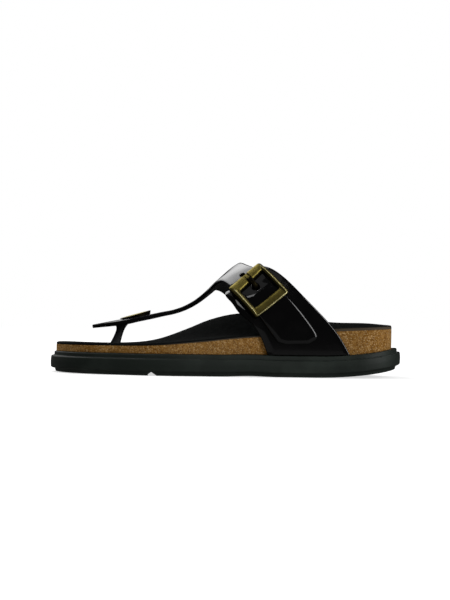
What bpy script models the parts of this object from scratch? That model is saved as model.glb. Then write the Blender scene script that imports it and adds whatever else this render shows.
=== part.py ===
# Toe post sandal for the left foot, as the separate pieces that a maker puts together.
# Sizes are millimetres, and MM turns them into Blender's metres.
# +X points to the toe, +Y to the wearer's left, which is the outer side, and +Z up.

import math
from functools import lru_cache

import bmesh
import bpy
from mathutils import Vector

MM = 0.001
GAP = 0.3  # clearance between pieces that meet
CUT_PAST = 2.0  # how far a cutter reaches past what it cuts


class Table:
    """Rows of named columns, read along the first column by a smooth curve through the rows."""

    def __init__(self, columns, *rows):
        self.columns = columns
        self.rows = rows
        self.places = [row[0] for row in rows]

    def at(self, place, name):
        column = self.columns.index(name)
        values = [row[column] for row in self.rows]
        places = self.places
        place = min(max(place, places[0]), places[-1])
        last = len(places) - 1
        i = next((k for k in range(last) if place <= places[k + 1]), last - 1)

        def slope(k):
            before, after = max(k - 1, 0), min(k + 1, last)
            return (values[after] - values[before]) / (places[after] - places[before])

        span = places[i + 1] - places[i]
        t = (place - places[i]) / span
        return (
            values[i] * (1 + 2 * t) * (1 - t) ** 2
            + slope(i) * span * t * (1 - t) ** 2
            + values[i + 1] * t * t * (3 - 2 * t)
            + slope(i + 1) * span * t * t * (t - 1)
        )


# Sole
LENGTH = 264.0  # over the bumper, heel to toe
HALF_LENGTH = LENGTH / 2
HEEL_ROUND = 37.0  # length of the rounded heel end
TOE_ROUND = 52.0  # length of the rounded toe end
END_BLUNTNESS = 2.2  # 2 is an ellipse
TOE_SHIFT = 7.0  # how far the toe's tip lies towards the big toe
SOLE_THICKNESS = 15.6
TOE_SPRING = 0.6
TOE_SPRING_START = 32.0
TOE_THINNING = 0.03  # share by which the sole is thinner at the toe's tip
HEEL_LIFT = 7.4
HEEL_LIFT_START = -66.0
WAIST_RELIEF = 0.6  # the sole stands on heel and forefoot
WAIST_MIDDLE = -18.0
WAIST_HALF = 22.0

# Half-widths of the plan on the bumper, from the shoe's long axis
PLAN = Table(
    ("along", "outer", "inner"),
    (-96, 35.5, 35.5),  # heel
    (-60, 37.5, 34.0),
    (-25, 41.5, 33.0),  # waist
    (10, 46.5, 38.5),
    (40, 50.0, 46.5),  # ball
    (62, 49.5, 49.0),
    (84, 46.5, 47.5),  # toes
)

# Steps of the sole's side from the floor up
SOLE_SIDE = Table(
    ("height", "inset"),
    (0.0, 3.9),  # tread
    (2.7, 3.1),
    (2.9, 0.9),  # bumper
    (3.6, 0.15),
    (8.0, 0.0),
    (11.6, 0.3),
    (12.3, 0.9),
    (12.5, 2.6),  # rim
    (15.0, 2.7),
    (SOLE_THICKNESS, 3.3),
)

# Footbed
CORK_INSET_HEEL = 6.8
CORK_INSET_SIDE = 6.7
CORK_INSET_TOE = 4.1
LINING = 1.5
LINING_SETBACK = 0.4  # of the lining's edge from the cork's
BOWL_REACH = 15.0  # width of the slope inside a low rim
BOWL_REACH_RISE = 0.72  # how much wider it gets with the rim's height
BOWL_DEPTHS = (1.6, 4.5, 9.0, 14.0)  # of the mesh rings inside the rim
BOWL_SHARES = (0.35, 0.7)  # of the way from the last ring to the middle

# Heights of the cork above the floor: its outer and inner edges, and its middle
BED = Table(
    ("along", "outer", "inner", "middle"),
    (-126, 37.4, 37.4, 28.5),  # heel cup
    (-110, 36.6, 38.6, 26.0),
    (-85, 35.2, 38.8, 24.4),
    (-60, 33.0, 40.6, 24.8),
    (-40, 31.0, 43.2, 26.2),
    (-22, 29.2, 44.8, 27.2),  # arch
    (-6, 27.6, 44.0, 27.4),
    (12, 25.3, 39.4, 26.2),  # ball pad
    (30, 23.4, 31.8, 23.0),
    (50, 21.8, 24.4, 20.2),
    (66, 21.3, 21.2, 19.2),
    (90, 21.1, 20.0, 19.3),  # toe grip
    (110, 21.0, 20.2, 19.2),
    (128, 20.9, 20.9, 19.3),
)

# The last's ridge: its height and how far it lies to the outer side of the shoe's long axis
LAST = Table(
    ("along", "ridge", "crest"),
    (-95, 124.0, -4.0),
    (-60, 108.0, -4.5),
    (-40, 99.0, -5.0),
    (-25, 91.0, -5.5),
    (-12, 83.2, -6.0),
    (-5.5, 78.9, -6.0),
    (3.5, 70.9, -6.5),
    (12.5, 61.9, -7.0),
    (21.5, 54.2, -7.0),
    (30.5, 48.9, -7.5),
    (39.5, 45.6, -8.0),
    (48, 43.8, -8.5),
    (57, 41.8, -9.0),
    (70, 39.4, -9.5),
    (85, 36.5, -10.0),
    (103, 32.7, -10.0),
)
CROWN_UP = 2.0  # powers of the rounded section between ridge and footbed edge
CROWN_OUT = 1.8
SHOULDER = 1.6  # how far above the lining's edge the section turns down the wall
SECTION_STEPS = 40

LEATHER = 2.6

# Rows of the T strap from the inner side of the sole over the ridge to the end of its outer tail.
# Girth is the share of the way from the ridge, 0, to the sole, 1 outside and -1 inside.
T_STRAP = Table(
    ("row", "front_x", "front_girth", "rear_x", "rear_girth"),
    (0, -27.0, -1.00, -77.0, -1.00),  # inner sole
    (1, -23.0, -0.74, -69.0, -0.78),
    (2, -11.5, -0.55, -54.0, -0.58),  # inner side
    (3, -0.8, -0.385, -31.0, -0.37),
    (4, 8.4, -0.165, -14.5, -0.22),  # inner corner of the T
    (5, 11.0, 0.00, -11.8, 0.00),  # ridge
    (6, 8.0, 0.14, -15.8, 0.19),  # outer corner of the T
    (7, 0.5, 0.295, -21.5, 0.295),
    (8, -6.3, 0.458, -25.2, 0.325),  # top of the buckle
    (9, -14.6, 0.584, -34.4, 0.460),  # hinge bar
    (10, -23.7, 0.704, -44.4, 0.583),  # bottom of the buckle
    (11, -35.2, 0.866, -57.8, 0.745),
    (12, -38.2, 0.897, -66.0, 0.858),
    (13, -42.5, 0.915, -61.5, 0.915),  # end of the tail
)
T_ROW_STEPS = 4  # mesh rows to a row of the table
T_BUCKLE_STEPS = 10  # and to a row under the buckle
T_COLUMNS = 8
T_INNER_CORNER, T_RIDGE, T_OUTER_CORNER = 4, 5, 6
T_BUCKLE_TOP, T_HINGE, T_BUCKLE_BOTTOM = 8, 9, 10
STRAP_HALF = 12.6  # at the buckle
OVERLAP_START, OVERLAP_END = 5.2, 7.2  # rows over which the T strap climbs onto the outer quarter

# Half-widths of the thong strip along the ridge, from the T to the tip of the toe tab
STRIP_ROWS = 11
STRIP_TIP_ROWS = (5.0, 2.6, 1.0, 0.0)  # mesh rows before the tip
STRIP = Table(
    ("along", "half_width"),
    (11.0, 12.0),
    (16.0, 10.4),
    (22.0, 9.7),
    (31.0, 9.3),
    (44.0, 9.4),
    (56.0, 11.2),
    (68.0, 13.0),  # under the rivet
    (80.0, 12.6),
    (90.0, 9.8),
    (96.6, 6.4),
    (100.0, 3.5),
    (101.2, 1.8),
)

# Rows of the outer quarter from its upper edge, under the T strap, to the sole
QUARTER = Table(
    ("row", "front_x", "front_girth", "rear_x", "rear_girth"),
    (0, 2.2, 0.430, -27.3, 0.265),
    (1, -4.5, 0.556, -40.5, 0.405),
    (2, -10.0, 0.664, -57.7, 0.601),
    (3, -20.0, 0.771, -75.3, 0.783),
    (4, -26.8, 0.890, -84.2, 0.890),
    (5, -30.8, 1.000, -91.2, 1.000),
)
QUARTER_ROW_STEPS = 3
QUARTER_COLUMNS = 9

# Toe post and rivet
POST_FOOT = 86.2  # along the shoe, at the bottom of its socket
POST_HEAD = 78.4  # along the shoe, under the strap
POST_SOCKET = 3.0  # how deep the post goes into the cork
POST = Table(
    ("rise", "along_half", "across_half"),
    (0.00, 4.1, 2.8),
    (0.27, 4.05, 2.8),
    (0.55, 3.3, 2.7),
    (0.78, 3.35, 2.8),
    (0.90, 4.3, 3.2),
    (1.00, 6.2, 4.2),
)
POST_SIDES = 20
POST_ROWS = 8
SOCKET_SPARE = 0.02  # share of the rise by which the socket is deeper than the post
SOCKET_TOP = 0.55
RIVET_PLACE = 69.0
RIVET_RADIUS = 11.6
RIVET_TILT = 0.1  # how much the cap leans to the toe
RIVET = Table(
    ("share", "height"),
    (0.00, 0.7),
    (0.60, 0.68),
    (0.90, 0.6),
    (0.98, 0.48),
    (1.00, 0.35),
    (1.00, 0.0),  # underside, on the strap
    (0.50, 0.0),
    (0.00, 0.0),
)
RIVET_SIDES = 28
RIVET_SEAT = 0.45  # clearance on the curved strap

# Buckle, in the strap's own directions: along it from the hinge bar, and across it
FRAME_TOP, FRAME_BOTTOM = -16.0, 14.3
WINDOW_TOP, WINDOW_BOTTOM = -8.8, 7.8
FRAME_HALF = 16.0
WINDOW_HALF = 11.8
FRAME_SHIFT = -0.6  # of its outside across the strap, which makes the front bar the wider one
FRAME_SKEW = 0.065  # how far the bars run up the strap for their way across it
FRAME_CORNER, WINDOW_CORNER = 2.2, 0.8
FRAME_THICKNESS = 3.0
FRAME_FLOOR = 2 * LEATHER + 2.5 * GAP  # height above the last
FRAME_PROFILE = Table(
    ("share", "rise"),
    (0.00, 0.00),
    (0.001, 0.72),
    (0.14, 1.00),
    (0.86, 1.00),
    (0.999, 0.80),
    (1.00, 0.00),
)
BAR_RADIUS = 0.95
BAR_HEIGHT = LEATHER / 2  # in a slot of the quarter
BAR_HALF = 13.85
BAR_STEPS = 8
BAR_SIDES = 10
BAR_SLOT_TOP, BAR_SLOT_BOTTOM, BAR_SLOT_HALF = -3.7, 1.4, 15.2
BUMP_HEIGHT = 1.6  # of the strap in the window, over the prong's foot
BUMP_SPREAD = 3.2
BUMP_FLAT, BUMP_EDGE = 5.0, 9.4  # across the strap, from where the bump falls to where it ends
PRONG = Table(
    ("along", "height", "half_width"),
    (-13.9, 8.55, 1.2),  # tip on the top bar
    (-12.2, 8.65, 1.6),
    (-9.5, 8.65, 1.8),
    (-6.5, 8.35, 1.8),
    (-4.4, 6.90, 1.8),
    (-2.9, 4.60, 1.8),
    (-2.2, 2.60, 1.8),
    (-2.1, 1.20, 1.8),  # foot at the hinge bar
)
PRONG_THICKNESS = 1.6
PRONG_SIDES = 8
PRONG_SQUARENESS = 0.5  # power that squares its round section
FRAME_CORNER_STEPS = 3
FRAME_SIDE_STEPS = 5
CUTTER_SIDES = 12
NOTCH_HALF = 2.3
NOTCH_DEPTH = 1.7
SLOT_TOP, SLOT_BOTTOM, SLOT_HALF = -7.4, -0.9, 2.3
SPARE_HOLE = -19.6  # along the strap
SPARE_HOLE_RADIUS = 1.9

# Groove across the tread at the forefoot
GROOVE_FRONT = 55.2
GROOVE_TOP = 53.2
GROOVE_REAR = 45.8
GROOVE_DEPTH = 3.0
GROOVE_REACH = 66.0  # to each side, past the sole


def lift(x):
    """Height of the sole's underside above the floor."""
    if x > TOE_SPRING_START:
        return TOE_SPRING * ((x - TOE_SPRING_START) / (HALF_LENGTH - TOE_SPRING_START)) ** 2
    if x < HEEL_LIFT_START:
        return HEEL_LIFT * ((HEEL_LIFT_START - x) / (HALF_LENGTH + HEEL_LIFT_START)) ** 2
    waist = (x - WAIST_MIDDLE) / WAIST_HALF
    return WAIST_RELIEF * (1 + math.cos(math.pi * waist)) / 2 if abs(waist) < 1 else 0.0


def sole_height(x, height):
    """Height above the floor of a level of the sole, which thins towards the toe."""
    return lift(x) + height * (1 - TOE_THINNING * max(x / HALF_LENGTH, 0.0) ** 2)


def end_rounding(x):
    """Share of the half-width that the rounded toe or heel leaves at x."""
    into_toe = (x - (HALF_LENGTH - TOE_ROUND)) / TOE_ROUND
    into_heel = (-HALF_LENGTH + HEEL_ROUND - x) / HEEL_ROUND
    depth = min(max(into_toe, into_heel, 0.0), 1.0)
    return (1 - depth**END_BLUNTNESS) ** (1 / END_BLUNTNESS)


def bumper_point(angle):
    """Point of the bumper's plan, from the toe round the outer side to the heel and back."""
    x = HALF_LENGTH * math.cos(angle)
    side = "outer" if math.sin(angle) >= 0 else "inner"
    width = PLAN.at(x, side) * end_rounding(x)
    toe_shift = -TOE_SHIFT * max(x / HALF_LENGTH, 0.0) ** 3
    return x, toe_shift + (width if side == "outer" else -width)


OUTLINE_PAIRS = 34
OUTLINE_POINTS = 2 * OUTLINE_PAIRS
PLAN_SAMPLES = 720
PLAN_SIDEWAYS = [bumper_point(math.tau * k / PLAN_SAMPLES)[1] for k in range(PLAN_SAMPLES)]
PLAN_MIDDLE = (max(PLAN_SIDEWAYS) + min(PLAN_SIDEWAYS)) / 2  # centres the plan on its own box


def outline(inset, points=OUTLINE_POINTS):
    """Closed plan, inset from the bumper. Point k and point -k lie across from each other."""
    step = 1e-3
    ring = []
    for k in range(points):
        angle = math.tau * k / points
        x, y = bumper_point(angle)
        x1, y1 = bumper_point(angle - step)
        x2, y2 = bumper_point(angle + step)
        length = math.hypot(x2 - x1, y2 - y1)
        gone = inset(x) if callable(inset) else inset
        ring.append((x - gone * (y2 - y1) / length, y - PLAN_MIDDLE + gone * (x2 - x1) / length))
    return ring


def cork_inset(x):
    """How far the cork's side stands back from the bumper."""
    if x > 0:
        return CORK_INSET_SIDE + (CORK_INSET_TOE - CORK_INSET_SIDE) * (x / HALF_LENGTH) ** 2
    return CORK_INSET_SIDE + (CORK_INSET_HEEL - CORK_INSET_SIDE) * (x / HALF_LENGTH) ** 2


CORK_EDGE_POINTS = 240
CORK_EDGE = outline(cork_inset, CORK_EDGE_POINTS)


@lru_cache(maxsize=None)
def wall(x, side):
    """Distance of the cork's side from the long axis at x, with the clearance of the leather on it."""
    half = len(CORK_EDGE) // 2
    points = CORK_EDGE[: half + 1] if side > 0 else [CORK_EDGE[0], *CORK_EDGE[:half - 1:-1]]
    for (x1, y1), (x2, y2) in zip(points, points[1:]):
        if x2 <= x <= x1:
            return y1 + (y2 - y1) * (x - x1) / (x2 - x1) + side * GAP
    raise ValueError("no cork at %g" % x)


@lru_cache(maxsize=None)
def section(x, side):
    """Half section of the last at x: distances from the ridge, and points from ridge to sole."""
    crest, ridge = LAST.at(x, "crest"), LAST.at(x, "ridge")
    edge = wall(x, side)
    shoulder = BED.at(x, "outer" if side > 0 else "inner") + GAP + LINING + SHOULDER
    points = []
    for k in range(SECTION_STEPS + 1):
        turn = math.pi / 2 * k / SECTION_STEPS
        out, up = math.sin(turn) ** (2 / CROWN_OUT), math.cos(turn) ** (2 / CROWN_UP)
        points.append((crest + (edge - crest) * out, shoulder + (ridge - shoulder) * up))
    points.append((edge, sole_height(x, SOLE_THICKNESS) + GAP))
    distances = [0.0]
    for (y1, z1), (y2, z2) in zip(points, points[1:]):
        distances.append(distances[-1] + math.hypot(y2 - y1, z2 - z1))
    return distances, points


def last_point(x, girth):
    """Point of the last. Girth is 0 on the ridge, 1 at the sole outside and -1 inside."""
    distances, points = section(x, 1 if girth >= 0 else -1)
    reach = min(abs(girth), 1.0) * distances[-1]
    k = next(k for k in range(1, len(distances)) if reach <= distances[k] + 1e-9)
    t = (reach - distances[k - 1]) / (distances[k] - distances[k - 1])
    (y1, z1), (y2, z2) = points[k - 1], points[k]
    return Vector((x, y1 + (y2 - y1) * t, z1 + (z2 - z1) * t))


def on_last(x, girth, height=0.0):
    """Point above the last, along its normal."""
    step_x, step_girth = 0.5, 0.01
    low, high = max(girth - step_girth, -1.0), min(girth + step_girth, 1.0)
    along = last_point(x + step_x, girth) - last_point(x - step_x, girth)
    around = last_point(x, high) - last_point(x, low)
    return last_point(x, girth) + along.cross(around).normalized() * height


def ceiling(x, y):
    """Height of the last over a point of the plan."""
    crest, ridge = LAST.at(x, "crest"), LAST.at(x, "ridge")
    side = 1 if y >= crest else -1
    shoulder = BED.at(x, "outer" if side > 0 else "inner") + GAP + LINING + SHOULDER
    out = min((y - crest) / (wall(x, side) - crest), 1.0)
    return shoulder + (ridge - shoulder) * (1 - out**CROWN_OUT) ** (1 / CROWN_UP)


def bed_height(x, y):
    """Height of the cork's top over a point of the plan: a bowl that rises to the rim."""
    edge_x, edge_y = min(CORK_EDGE, key=lambda p: (p[0] - x) ** 2 + (p[1] - y) ** 2)
    rim = BED.at(edge_x, "outer" if edge_y > LAST.at(edge_x, "crest") else "inner")
    middle = BED.at(x, "middle")
    reach = BOWL_REACH + BOWL_REACH_RISE * max(rim - middle, 0.0)
    away = min(math.hypot(edge_x - x, edge_y - y) / reach, 1.0)
    return middle + (rim - middle) * (1 + math.cos(math.pi * away)) / 2


def smooth_step(t):
    t = min(max(t, 0.0), 1.0)
    return t * t * (3 - 2 * t)


def strap_place(table, row, across):
    """Place on the last of a point across a row of a strap, 0 at its front edge and 1 at its rear."""
    front_x, front = table.at(row, "front_x"), table.at(row, "front_girth")
    rear_x, rear = table.at(row, "rear_x"), table.at(row, "rear_girth")
    return front_x + (rear_x - front_x) * across, front + (rear - front) * across


def arm_line(steps=240):
    """Rows of the T strap's outer arm, with the distance of each along its middle from the hinge bar."""
    rows = [T_RIDGE + (len(T_STRAP.rows) - 1 - T_RIDGE) * k / steps for k in range(steps + 1)]
    points = [on_last(*strap_place(T_STRAP, row, 0.5), LEATHER) for row in rows]
    distances = [0.0]
    for a, b in zip(points, points[1:]):
        distances.append(distances[-1] + (b - a).length)
    hinge = min(range(len(rows)), key=lambda k: abs(rows[k] - T_HINGE))
    return Table(("along", "row"), *((d - distances[hinge], r) for d, r in zip(distances, rows)))


ARM_LINE = arm_line()
ROW_LINE = Table(("row", "along"), *((row, along) for along, row in ARM_LINE.rows))


def on_arm(along, across, height):
    """Point by the T strap's outer arm: along it from the hinge bar, across it, and above the last."""
    row = ARM_LINE.at(along, "row")
    front = on_last(*strap_place(T_STRAP, row, 0.0))
    rear = on_last(*strap_place(T_STRAP, row, 1.0))
    share = 0.5 + across / (rear - front).length
    return on_last(*strap_place(T_STRAP, row, share), height)


def t_strap_height(row, share):
    """Height of the T strap's underside above the last."""
    climb = (LEATHER + GAP) * smooth_step((row - OVERLAP_START) / (OVERLAP_END - OVERLAP_START))
    if row < T_RIDGE:
        return climb
    across = abs(2 * share - 1) * STRAP_HALF
    bump = BUMP_HEIGHT * (1 - smooth_step((across - BUMP_FLAT) / (BUMP_EDGE - BUMP_FLAT)))
    return climb + bump * math.exp(-((ROW_LINE.at(row, "along") / BUMP_SPREAD) ** 2) / 2)


def join_rings(bm, rings, closed):
    """Skin a list of rings of points with quads, and give back the rings' vertices."""
    grid = [[bm.verts.new(Vector(point) * MM) for point in ring] for ring in rings]
    for low, high in zip(grid, grid[1:]):
        for k in range(len(low) if closed else len(low) - 1):
            after = (k + 1) % len(low)
            bm.faces.new((low[k], low[after], high[after], high[k]))
    return grid


def cap_across(bm, ring, up):
    """Close a ring whose points lie in pairs, with a strip of faces across it."""
    half = len(ring) // 2
    for k in range(half):
        corners = [ring[k], ring[k + 1], ring[-k - 1], ring[-k % len(ring)]]
        corners = list(dict.fromkeys(corners))
        bm.faces.new(corners if up else corners[::-1])


def add_object(name, bm, collection, material=None, smooth_angle=40.0):
    """Make an object of a bmesh, with its faces pointing out."""
    bmesh.ops.remove_doubles(bm, verts=bm.verts, dist=1e-7)
    bmesh.ops.dissolve_degenerate(bm, edges=bm.edges, dist=1e-7)
    mesh = bpy.data.meshes.new(name)
    bm.to_mesh(mesh)
    bm.free()
    mesh.shade_smooth()
    mesh.set_sharp_from_angle(angle=math.radians(smooth_angle))
    piece = bpy.data.objects.new(name, mesh)
    collection.objects.link(piece)
    if material:
        mesh.materials.append(material)
    else:
        piece.hide_render = True
        piece.display_type = "WIRE"
    return piece


def add_material(name, colour, roughness, metallic=0.0):
    material = bpy.data.materials.new(name)
    material.use_nodes = True
    shader = material.node_tree.nodes["Principled BSDF"]
    shader.inputs["Base Color"].default_value = (*colour, 1.0)
    shader.inputs["Roughness"].default_value = roughness
    shader.inputs["Metallic"].default_value = metallic
    return material


def combine(piece, tool, operation):
    """Cut a tool from a piece, or join it on."""
    modifier = piece.modifiers.new(tool.name, "BOOLEAN")
    modifier.operation = operation
    modifier.object = tool


def thicken(piece):
    """Give a sheet on the last the leather's thickness, outwards."""
    modifier = piece.modifiers.new("Leather", "SOLIDIFY")
    modifier.thickness = LEATHER * MM
    modifier.offset = 1.0


def make_outsole(parts, cutters, material):
    bm = bmesh.new()
    rings = []
    for height, inset in SOLE_SIDE.rows:
        rings.append([(x, y, sole_height(x, height)) for x, y in outline(inset)])
    grid = join_rings(bm, rings, closed=True)
    cap_across(bm, grid[0], up=False)
    cap_across(bm, grid[-1], up=True)
    outsole = add_object("outsole", bm, parts, material)

    bm = bmesh.new()
    floor, top = lift(GROOVE_FRONT) - CUT_PAST, lift(GROOVE_FRONT) + GROOVE_DEPTH
    profile = [(GROOVE_FRONT, floor), (GROOVE_FRONT, top), (GROOVE_TOP, top), (GROOVE_REAR, floor)]
    sides = [[(x, side * GROOVE_REACH, z) for x, z in profile] for side in (1, -1)]
    near, far = join_rings(bm, sides, closed=True)
    bm.faces.new(near[::-1])
    bm.faces.new(far)
    combine(outsole, add_object("groove_cutter", bm, cutters), "DIFFERENCE")
    return outsole


def bed_rings(first, height):
    """Rings of the footbed's top from near its edge to its middle, raised by a height."""
    rings = [outline(lambda x, d=depth: cork_inset(x) + d) for depth in (first, *BOWL_DEPTHS)]
    inner = rings[-1]
    for share in BOWL_SHARES:
        across = [inner[-k % len(inner)] for k in range(len(inner))]
        rings.append([(x, y + ((y + far_y) / 2 - y) * share) for (x, y), (_, far_y) in zip(inner, across)])
    return [[(x, y, bed_height(x, y) + height) for x, y in ring] for ring in rings]


def make_cork(parts, post_socket, material):
    bm = bmesh.new()
    rings = bed_rings(0.0, 0.0)
    foot = [(x, y, sole_height(x, SOLE_THICKNESS) + GAP) for x, y, _ in rings[0]]
    grid = join_rings(bm, [foot, *rings], closed=True)
    cap_across(bm, grid[0], up=False)
    cap_across(bm, grid[-1], up=True)
    cork = add_object("cork_footbed", bm, parts, material)
    combine(cork, post_socket, "DIFFERENCE")
    return cork


def make_lining(parts, post_socket, material):
    bm = bmesh.new()
    grid = join_rings(bm, bed_rings(LINING_SETBACK, GAP), closed=True)
    cap_across(bm, grid[-1], up=True)
    lining = add_object("footbed_lining", bm, parts, material)
    modifier = lining.modifiers.new("Lining", "SOLIDIFY")
    modifier.thickness = LINING * MM
    modifier.offset = 1.0
    combine(lining, post_socket, "DIFFERENCE")
    return lining


def strip_row(along):
    """A row of points across the thong strip, from its inner edge to its outer edge."""
    half = STRIP.at(along, "half_width")
    count = (T_OUTER_CORNER - T_INNER_CORNER) * T_ROW_STEPS
    points = []
    for k in range(count + 1):
        across = 2 * k / count - 1
        girth = across * half / section(along, 1 if across >= 0 else -1)[0][-1]
        points.append(on_last(along, girth))
    return points


def strip_stations():
    """Places along the thong strip of its mesh rows, past the T."""
    start, end = STRIP.places[0], STRIP.places[-1]
    even = [start + (end - start) * k / STRIP_ROWS for k in range(1, STRIP_ROWS)]
    return [*even, *(end - tip for tip in STRIP_TIP_ROWS)]


def t_strap_rows():
    """Rows of the T strap's mesh, which lie closer under the buckle."""
    rows = []
    for row in range(len(T_STRAP.rows) - 1):
        steps = T_BUCKLE_STEPS if T_BUCKLE_TOP <= row < T_BUCKLE_BOTTOM else T_ROW_STEPS
        rows += [row + k / steps for k in range(steps)]
    return [*rows, len(T_STRAP.rows) - 1]


def make_t_strap(parts, cutters, material):
    bm = bmesh.new()
    rings = []
    for row in t_strap_rows():
        ring = []
        for share in [c / T_COLUMNS for c in range(T_COLUMNS + 1)]:
            ring.append(on_last(*strap_place(T_STRAP, row, share), t_strap_height(row, share)))
        rings.append(ring)
    band = join_rings(bm, rings, closed=False)
    bmesh.ops.reverse_faces(bm, faces=bm.faces)
    root = [row[0] for row in band[T_INNER_CORNER * T_ROW_STEPS : T_OUTER_CORNER * T_ROW_STEPS + 1]]
    for along in strip_stations():
        tip = [bm.verts.new(point * MM) for point in strip_row(along)]
        for k in range(len(tip) - 1):
            bm.faces.new((root[k], tip[k], tip[k + 1], root[k + 1]))
        root = tip
    strap = add_object("t_strap", bm, parts, material)
    thicken(strap)
    combine(strap, make_slot_cutter(cutters), "DIFFERENCE")
    combine(strap, make_hole_cutter(cutters), "DIFFERENCE")
    return strap


def arm_prism(name, plan, low, high, cutters):
    """A prism on the T strap's outer arm, from a plan of places along and across it."""
    bm = bmesh.new()
    rings = [[on_arm(along, across, height) for along, across in plan] for height in (low, high)]
    bottom, top = join_rings(bm, rings, closed=True)
    bm.faces.new(bottom[::-1])
    bm.faces.new(top)
    bmesh.ops.recalc_face_normals(bm, faces=bm.faces)
    return add_object(name, bm, cutters)


def make_slot_cutter(cutters):
    plan = []
    for k in range(CUTTER_SIDES):
        turn = math.tau * (k + 0.5) / CUTTER_SIDES
        end = SLOT_BOTTOM - SLOT_HALF if math.cos(turn) > 0 else SLOT_TOP + SLOT_HALF
        plan.append((end + SLOT_HALF * math.cos(turn), SLOT_HALF * math.sin(turn)))
    return arm_prism("slot_cutter", plan, LEATHER + GAP / 2, FRAME_FLOOR + FRAME_THICKNESS, cutters)


def make_hole_cutter(cutters):
    plan = []
    for k in range(CUTTER_SIDES):
        turn = math.tau * k / CUTTER_SIDES
        plan.append((SPARE_HOLE + SPARE_HOLE_RADIUS * math.cos(turn), SPARE_HOLE_RADIUS * math.sin(turn)))
    return arm_prism("spare_hole_cutter", plan, -LEATHER, FRAME_FLOOR, cutters)


def make_quarter(parts, cutters, material):
    bm = bmesh.new()
    last = len(QUARTER.rows) - 1
    rings = []
    for k in range(last * QUARTER_ROW_STEPS + 1):
        row = k / QUARTER_ROW_STEPS
        shares = [c / QUARTER_COLUMNS for c in range(QUARTER_COLUMNS + 1)]
        rings.append([on_last(*strap_place(QUARTER, row, share)) for share in shares])
    join_rings(bm, rings, closed=False)
    bmesh.ops.reverse_faces(bm, faces=bm.faces)
    quarter = add_object("outer_quarter", bm, parts, material)
    thicken(quarter)
    ends = ((BAR_SLOT_TOP, -BAR_SLOT_HALF), (BAR_SLOT_BOTTOM, -BAR_SLOT_HALF),
            (BAR_SLOT_BOTTOM, BAR_SLOT_HALF), (BAR_SLOT_TOP, BAR_SLOT_HALF))
    bar_slot = arm_prism("bar_slot_cutter", ends, -2 * LEATHER, 2 * LEATHER, cutters)
    combine(quarter, bar_slot, "DIFFERENCE")
    return quarter


def post_rings(spare, low, high):
    """Rings of the toe post, or of its socket with some spare room, between two shares of its rise."""
    crest = LAST.at(POST_HEAD, "crest")
    floor = bed_height(POST_FOOT, crest) - POST_SOCKET
    rings = []
    for share in [low + (high - low) * k / POST_ROWS for k in range(POST_ROWS + 1)]:
        middle = POST_FOOT + (POST_HEAD - POST_FOOT) * share
        along, across = POST.at(share, "along_half") + spare, POST.at(share, "across_half") + spare
        ring = []
        for k in range(POST_SIDES):
            turn = math.tau * k / POST_SIDES
            x, y = middle + along * math.cos(turn), crest + across * math.sin(turn)
            ring.append((x, y, floor + (ceiling(x, y) - GAP - floor) * share))
        rings.append(ring)
    return rings


def make_post(parts, material):
    bm = bmesh.new()
    grid = join_rings(bm, post_rings(0.0, 0.0, 1.0), closed=True)
    bm.faces.new(grid[0][::-1])
    bm.faces.new(grid[-1])
    return add_object("toe_post", bm, parts, material)


def make_post_socket(cutters):
    bm = bmesh.new()
    grid = join_rings(bm, post_rings(GAP, -SOCKET_SPARE, SOCKET_TOP), closed=True)
    bm.faces.new(grid[0][::-1])
    bm.faces.new(grid[-1])
    return add_object("post_socket_cutter", bm, cutters)


def make_rivet(parts, material):
    bm = bmesh.new()
    crest = LAST.at(RIVET_PLACE, "crest")
    rings = []
    for share, height in reversed(RIVET.rows):
        ring = []
        for k in range(RIVET_SIDES):
            turn = math.tau * k / RIVET_SIDES
            x = RIVET_PLACE + RIVET_RADIUS * share * math.cos(turn)
            y = crest + RIVET_RADIUS * share * math.sin(turn)
            top = on_last(x, 0.0, LEATHER + RIVET_SEAT).z - last_point(x, 0.0).z
            lean = RIVET_TILT * (RIVET_PLACE + RIVET_RADIUS - x) if height else 0.0
            ring.append((x, y, ceiling(x, y) + top + height + lean))
        rings.append(ring)
    join_rings(bm, rings, closed=True)
    return add_object("toe_rivet", bm, parts, material)


def frame_loop(top, bottom, half, corner):
    """Rounded rectangle of the buckle, as places along and across the strap."""
    corners = ((bottom - corner, half - corner), (top + corner, half - corner),
               (top + corner, corner - half), (bottom - corner, corner - half))
    arcs = []
    for side, (along, across) in enumerate(corners):
        arc = []
        for k in range(FRAME_CORNER_STEPS + 1):
            turn = math.pi / 2 * (side + k / FRAME_CORNER_STEPS)
            arc.append(Vector((along + corner * math.cos(turn), across + corner * math.sin(turn))))
        arcs.append(arc)
    loop = []
    for arc, following in zip(arcs, arcs[1:] + arcs[:1]):
        loop += arc
        loop += [arc[-1].lerp(following[0], k / FRAME_SIDE_STEPS) for k in range(1, FRAME_SIDE_STEPS)]
    return loop


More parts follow.
